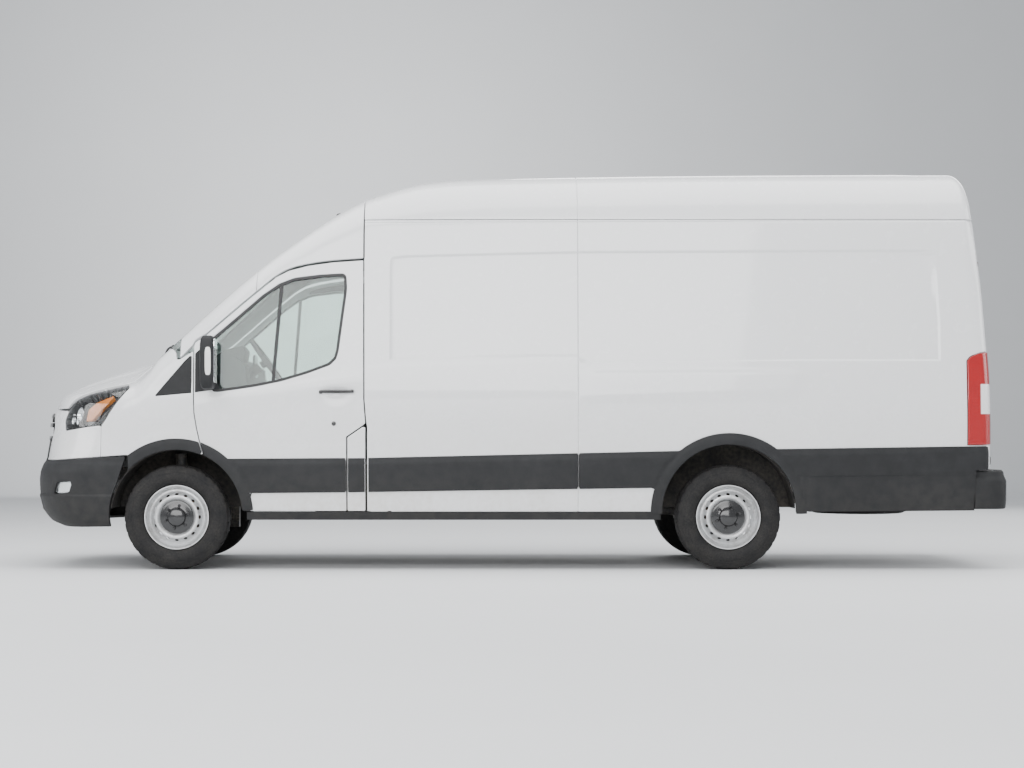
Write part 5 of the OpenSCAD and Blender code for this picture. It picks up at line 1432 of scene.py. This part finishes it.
silvered = finish("mirror_glass", mirror_glass)
pale_lens = finish("frosted_lens",
                   lambda s: s.surface(Base_Color=s.grain(20, 3).tint((0.72, 0.72, 0.70),
                                                                      (0.82, 0.82, 0.80)),
                                       Roughness=s.grain(60, 3) * 0.1 + 0.12,
                                       Normal=s.grain(160, 1).bump(0.0008, 0.6), Coat_Weight=0.6))
mirror_x, mirror_y = front_axle + 238, -half_width - 136
for side, right in (("driver", False), ("passenger", True)):
    node = {"driver": "left_mirror", "passenger": "right_mirror"}[side]
    body = side + "_door_body"
    parts = [blob((mirror_x - 2, mirror_y, 1401), (50, 112, 181), 0.42, 56, 36),
             tube(swing([(mirror_x - 12, -half_width + 6, 1312), (mirror_x - 8, -half_width - 30, 1318),
                         (mirror_x, -half_width - 76, 1336)], 12), np.linspace(20, 30, 12), 20)]
    housing = mesh_piece(side + "_mirror_housing", *flipped(stack(*parts), right), plastic, body, "plastic")
    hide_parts(node)
    mesh_piece(side + "_mirror_glass", *flipped(blob((mirror_x + 47, mirror_y, 1412), (3, 92, 148), 0.2),
                                                right), silvered, body, "glass")
    mesh_piece(side + "_mirror_lamp",
               *flipped(blob((mirror_x + 8, mirror_y - 108, 1408), (20, 7, 94), 0.5, 40, 24), right),
               pale_lens, body, "lamp")
    wall = on_side(np.array([[x, 1209.0] for x in (door_post - 298, door_post - 180, door_post - 68)]))[:,
            1]
    handle = [blob((door_post - 182, wall[1] - 20, 1209), (118, 8, 12), 0.5),
              blob((door_post - 288, wall[0] - 8, 1205), (13, 16, 12), 0.6),
              blob((door_post - 76, wall[2] - 8, 1211), (13, 16, 12), 0.6),
              blob((door_post - 200, on_side(np.array([[door_post - 200, 992.0]]))[0, 1] - 1, 992),
                   (15, 5, 15), 0.9)]
    mesh_piece(side + "_door_handle", *flipped(stack(*handle), right), gloss_black, body, "trim")
    sail = polygon((door_front_x + 10, 1202), (front_axle + 300, 1226), (front_axle + 262, 1330),
                   (front_axle + 252, 1570), (front_axle + 236, 1566), (door_front_x + 10, 1468))
    sail_u, sail_v = lines(door_front_x, front_axle + 305, 9), lines(1195, 1580, 9)
    mesh_piece(side + "_mirror_sail", *pressing(sail_u, sail_v, on_side, grown(sail, -1), 11, 3, stand=5,
                                                right=right), plastic, body, "trim")
quarter = polygon((front_axle - 152, 1174), (front_axle + 108, 1197), (front_axle + 108, 1466),
                  (front_axle + 60, 1420))
quarters = [pressing(lines(front_axle - 160, front_axle + 114, 8), lines(1168, 1472, 8), on_side,
                     grown(quarter, -1), 9, 3, stand=5, right=s) for s in (False, True)]
mesh_piece("quarter_trims", *stack(*quarters), plastic, "body", "trim")
wall = on_side(np.array([[door_post + 170, 1190.0]]))[0, 1]
mesh_piece("sliding_door_handle",
           *flipped(stack(blob((door_post + 170, wall - 18, 1196), (100, 8, 12), 0.5),
                          blob((door_post + 84, wall - 7, 1194), (12, 16, 12), 0.6),
                          blob((door_post + 256, wall - 7, 1194), (12, 16, 12), 0.6)), True), gloss_black,
           "body", "trim")
rail_x = np.linspace(door_post + 1450, rear_x - 400, 40)
rail = on_side(np.stack([rail_x, 0 * rail_x + 1392], axis=-1)) + [0, -5, 0]
mesh_piece("sliding_door_rail", *flipped(tube(rail, 9), True), gloss_black, "body", "trim")

arms = []
for pivot in (-560, 130):
    y = np.linspace(pivot - 40, pivot + 560, 46)
    u = 78 + 26 * np.sin(np.linspace(0, math.pi, 46)) * 0.4
    blade = on_windshield(np.stack([u, y * 780 / 836], axis=-1))
    n = outward(blade)
    arms += [tube(blade + 11 * n, 6.5, 10), tube(blade + 4 * n, 3.5, 8)]
    root = on_windshield(np.array([[8.0, (pivot + 560) * 780 / 836]]))[0] + [-26, 0, 4]
    middle = blade[22] + 22 * n[22]
    arms.append(tube(swing([root, (root + middle) / 2 + [-4, 0, 22], middle], 24), np.linspace(9, 6, 24),
                     10))
mesh_piece("wipers", *stack(*arms), rubber, "body", "trim")

# ---- Tail fittings ----
# Strap hinges wrap the rear corners, the right-hand door carries a pull handle, and the left-hand one a
# moulded plate holder whose plate is blank. Rubber closes the upper corners and a step pad tops the bumper.

cover(plastic, "plate_holder")
corner_seal = cut(polygon((-700, 2340), (-560, 2620), (-900, 2620), (-900, 2340)),
                  grown(rear_door_outline, 5))
seals = [pressing(lines(-830, -550, 9), lines(2330, 2600, 9), on_tail,
                  common(corner_seal, box(-822, -560, 2350, 2585)), 30, 2, stand=-30, right=s)
         for s in (False, True)]
mesh_piece("rear_corner_seals", *stack(*seals), rubber, "body", "trim")
hinges = {False: [], True: []}
for z in (740, 1330, 2080):
    for right in (False, True):
        y = float(door_edge(z))
        p = on_tail(np.array([[y + 30, z]]))[0]
        q = on_tail(np.array([[y - 26, z]]))[0]
        hinges[right].append(flipped(blob(p + [6, 34, 0], (8, 62, 21), 0.35), right))
        hinges[right].append(flipped(blob(p + [9, -44, 0], (11, 14, 30), 0.5), right))
for right, side in ((False, "left"), (True, "right")):
    mesh_piece(side + "_tail_hinges", *stack(*hinges[right]), gloss_black, side + "_tail_door", "trim")
pull = on_tail(np.array([[-70.0, 1130.0]]))[0] * [1, -1, 1]
mesh_piece("tail_door_handle", *stack(blob(pull + [12, 0, 0], (12, 30, 88), 0.5),
                                      blob(pull + [26, 0, 0], (7, 12, 70), 0.5)), gloss_black,
           "right_tail_door", "trim")


def plate_face(s):
    return s.surface(Base_Color=s.grain(25, 4).tint((0.78, 0.78, 0.76), (0.70, 0.70, 0.68)),
                     Roughness=s.grain(70, 3) * 0.2 + 0.25, Metallic=0.2)


low, high = (1000 * np.array(c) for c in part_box("plate_holder"))
middle = (low + high) / 2
plate = blob((high[0] + 2.5, middle[1], middle[2]), (2, 152, 76), 0.12, 64, 32)
screws = [turned([(0.5, 3), (5, 2.5), (6, 0), (0.5, 0)], (high[0] + 4, middle[1] + a, middle[2] + b),
                 (1, 0, 0), 12) for a in (-89, 89) for b in (-60.5, 60.5)]
mesh_piece("blank_plate", *stack(plate, *screws), finish("plate_face", plate_face), "left_tail_door",
           "trim")
pad = carried(plan[8:-8], rounded([(-88, 672), (-30, 672), (-30, 677), (-88, 677)], 2, 3))
mesh_piece("bumper_step_pad", *pad, rubber, "body", "plastic")

# ---- Cab ----
# Two seats in dark woven cloth over foam on black pedestals, a grained dashboard with an instrument hood and
# vents, a padded wheel, moulded door linings and a pale cloth headliner.


def cab_plastic(s):
    return s.surface(Base_Color=s.grain(6, 5).tint((0.030, 0.031, 0.033), (0.045, 0.046, 0.048)),
                     Roughness=s.grain(140, 3) * 0.2 + 0.5, Normal=s.grain(1100, 2).bump(0.0002, 0.7))


def seat_cloth(s):
    warp = s.make("TexWave", {"bands_direction": "X"},
                  {"Vector": s.place(), "Scale": 190.0, "Distortion": 1.5})
    weft = s.make("TexWave", {"bands_direction": "Z"},
                  {"Vector": s.place(), "Scale": 190.0, "Distortion": 1.5})
    weave = warp * weft
    return s.surface(Base_Color=(weave * 0.6 + s.grain(9, 4) * 0.4).tint((0.020, 0.021, 0.024),
            (0.075, 0.078, 0.085)), Roughness=0.9, Sheen_Weight=0.25, Normal=weave.bump(0.0006, 0.6))


def headliner_cloth(s):
    return s.surface(Base_Color=s.grain(500, 2).tint((0.38, 0.38, 0.37), (0.48, 0.48, 0.47)),
                     Roughness=0.95, Normal=s.grain(900, 2).bump(0.0004, 0.5))


def brushed_steel(s):
    heat = s.grain(3, 5)
    return s.surface(Base_Color=heat.tint((0.36, 0.33, 0.30), (0.22, 0.20, 0.19)), Metallic=0.9,
                     Roughness=s.grain(50, 5, (1, 8, 8)) * 0.3 + 0.3,
                     Normal=s.grain(200, 3).bump(0.0003, 0.5))


def cast_alloy(s):
    oil = (s.grain(7, 6) * s.grain(40, 4)).spread(0.15, 0.4)
    return s.surface(Base_Color=oil.tint((0.34, 0.35, 0.36), (0.07, 0.06, 0.05)), Metallic=0.7,
                     Roughness=s.grain(60, 4) * 0.3 + 0.4, Normal=s.grain(260, 4).bump(0.0008, 0.7))


def liner_plastic(s):
    mud = (s.grain(6, 6) * s.grain(40, 5)).spread(0.13, 0.4)
    return s.surface(Base_Color=(mud * 0.5).tint((0.010, 0.010, 0.011), (0.09, 0.078, 0.062)),
                     Roughness=s.grain(60, 4) * 0.2 + 0.75, Normal=s.grain(300, 4).bump(0.0012, 0.8))


cab_trim, cloth = finish("cab_plastic", cab_plastic), finish("seat_cloth", seat_cloth)
cover(cab_trim, "dashboard", "steering_wheel")
cover(plastic, "cowl")
cover(finish("brushed_steel", brushed_steel), "exhaust")
cover(finish("cast_alloy", cast_alloy), "engine")
cover(finish("liner_plastic", liner_plastic), "wheel_liners")


def cushion(centre, half, lean=0.0, seams=(), bolster=0.0, power=0.5):
    """Foam block with swollen faces: a blob whose face sinks along its seams and whose sides rise in
    bolsters, sheared along x by lean for each millimetre of height."""
    points, faces = blob((0, 0, 0), half, power, 56, 32)
    y, z = points[:, 1], points[:, 2]
    face = points[:, 0] < -0.2 * half[0] if half[0] < half[2] else points[:, 2] > 0.2 * half[2]
    k = 0 if half[0] < half[2] else 2
    raised = bolster * np.exp(-((np.abs(y) - half[1] * 0.86) / 40) ** 2)
    sink = sum(np.exp(-((y - s) / 7) ** 2) for s in seams) * 7 - raised
    points[:, k] += (sink if k == 0 else -sink) * face
    points[:, 0] += lean * (z + half[2])
    return points + np.array(centre), faces


for s, side in ((-1, "driver"), (1, "passenger")):
    y = s * 480
    parts = {"cushion": cushion((door_post - 352, y, 1012), (262, 222, 72), 0, (-118, 118), 18),
             "back": cushion((door_post - 84, y, 1348), (56, 215, 322), 0.18, (-112, 112), 20),
             "headrest": cushion((door_post + 92, y, 1794), (38, 122, 66), 0.12, (), 0, 0.55)}
    for name, sheet in parts.items():
        pad = mesh_piece(side + "_seat_" + name, *sheet, cloth, "body", "fabric")
        if name == "cushion" and s < 0:
            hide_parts("seats")
    frame_parts = [blob((door_post - 352, y, 832), (170, 150, 104), 0.2),
                   tube([(door_post + 66, y - 60, 1650), (door_post + 90, y - 60, 1790)], 7),
                   tube([(door_post + 66, y + 60, 1650), (door_post + 90, y + 60, 1790)], 7)]
    mesh_piece(side + "_seat_frame", *stack(*frame_parts), cab_trim, "body", "cabin")
    edge = cut(grown(door_outline(s < 0), -30), grown(window_outline, 8),
               box(front_axle, door_post + 100, 0, 520))
    lining = pressing(lines(door_front_x, door_post + 18, 24), lines(500, door_top_z, 20), on_side, edge,
                      66, 5, stand=-57, right=s > 0)
    mesh_piece(side + "_door_lining", *lining, cab_trim, side + "_door_body", "cabin")
liner = pressing(lines(20, 690, 30), lines(40, half_turn - 40, 50), on_cab_roof,
                 box(24, 688, 50, half_turn - 50), 44, 2, stand=-38)
mesh_piece("headliner", *liner, finish("headliner_cloth", headliner_cloth), "body", "cabin")
dash_vents = [blob((front_axle + 448, y, 1352), (16, 62, 30), 0.35) for y in (-740, -60, 60, 740)]
screen = blob((front_axle + 452, 0, 1430), (10, 120, 58), 0.3)
mesh_piece("dashboard_vents", *stack(*dash_vents, screen), gloss_black, "body", "cabin")
aerial = on_top(np.array([[door_post - 190.0, 0.0]]))[0]
mesh_piece("roof_aerial", *stack(cushion(aerial + [0, 0, 12], (46, 18, 18), 0, (), 0, 0.8),
                                 tube(swing([aerial + [10, 0, 24], aerial + [30, 0, 34]], 8),
                                      np.linspace(6, 3, 8), 10)), gloss_black, "body", "trim")

# ---- Studio ----
# A plain pale floor that runs up into a wall, large soft lights and a long lens.


def studio_floor(s):
    return s.surface(Base_Color=s.grain(0.7, 3).tint((0.68, 0.69, 0.70), (0.72, 0.73, 0.74)),
                     Roughness=0.75)


def sweep_floor(half, deep, high, r):
    """Floor carried back into a wall by a quarter circle of radius r."""
    t = np.linspace(0, math.pi / 2, 24)
    y = np.r_[-deep, deep - r + r * np.sin(t), deep]
    z = np.r_[0, r - r * np.cos(t), high]
    n = len(y)
    points = np.concatenate([np.stack([0 * y + s * half, y, z], axis=-1) for s in (-1, 1)])
    i = np.arange(n - 1)
    return points, np.stack([i, n + i, n + i + 1, i + 1], axis=-1)


floor_sheet = mesh_piece("studio_floor", *sweep_floor(30000, 24000, 14000, 6000),
                         finish("studio_floor", studio_floor), turn=80)


def lamp(name, place, aim, size, power):
    data = bpy.data.lights.new(name, "AREA")
    data.shape, data.size, data.size_y, data.energy = "RECTANGLE", size[0], size[1], power
    made = bpy.data.objects.new(name, data)
    bpy.context.scene.collection.objects.link(made)
    made.location = place
    x, y, z = np.subtract(aim, place)
    made.rotation_euler = (math.atan2(math.hypot(x, y), -z), 0, math.atan2(x, -y) + math.pi)
    return made


lamp("overhead", (0, -1.5, 8.5), (0, 0, 0), (15, 9), 1500)
lamp("camera_side", (-3, -13, 5.5), (0, 0, 1.3), (13, 6), 1500)
lamp("far_side", (5, 11, 6.0), (0, 0, 1.2), (10, 5), 500)
lamp("backdrop", (-2.6, 15.5, 4.5), (-2.6, 24, 5.5), (4, 4), 700)
lamp("nose_side", (-12, -3, 4.5), (0, 0, 1.2), (6, 5), 420)
lamp("tail_side", (12, -2, 4.5), (0, 0, 1.2), (6, 5), 360)
world = bpy.data.worlds.new("studio")
bpy.context.scene.world = world
world.use_nodes = True
world.node_tree.nodes["Background"].inputs["Color"].default_value = (0.93, 0.96, 1.0, 1)
world.node_tree.nodes["Background"].inputs["Strength"].default_value = 0.55

eye = bpy.data.cameras.new("eye")
eye.lens, eye.sensor_width = 80.7, 36
eye.shift_x, eye.shift_y = 0.0533, 0.0476
eye.clip_end = 200
camera = bpy.data.objects.new("eye", eye)
bpy.context.scene.collection.objects.link(camera)
camera.location = (-0.408, -16.56, 0.93)
camera.rotation_euler = (math.pi / 2, 0, 0)
bpy.context.scene.camera = camera
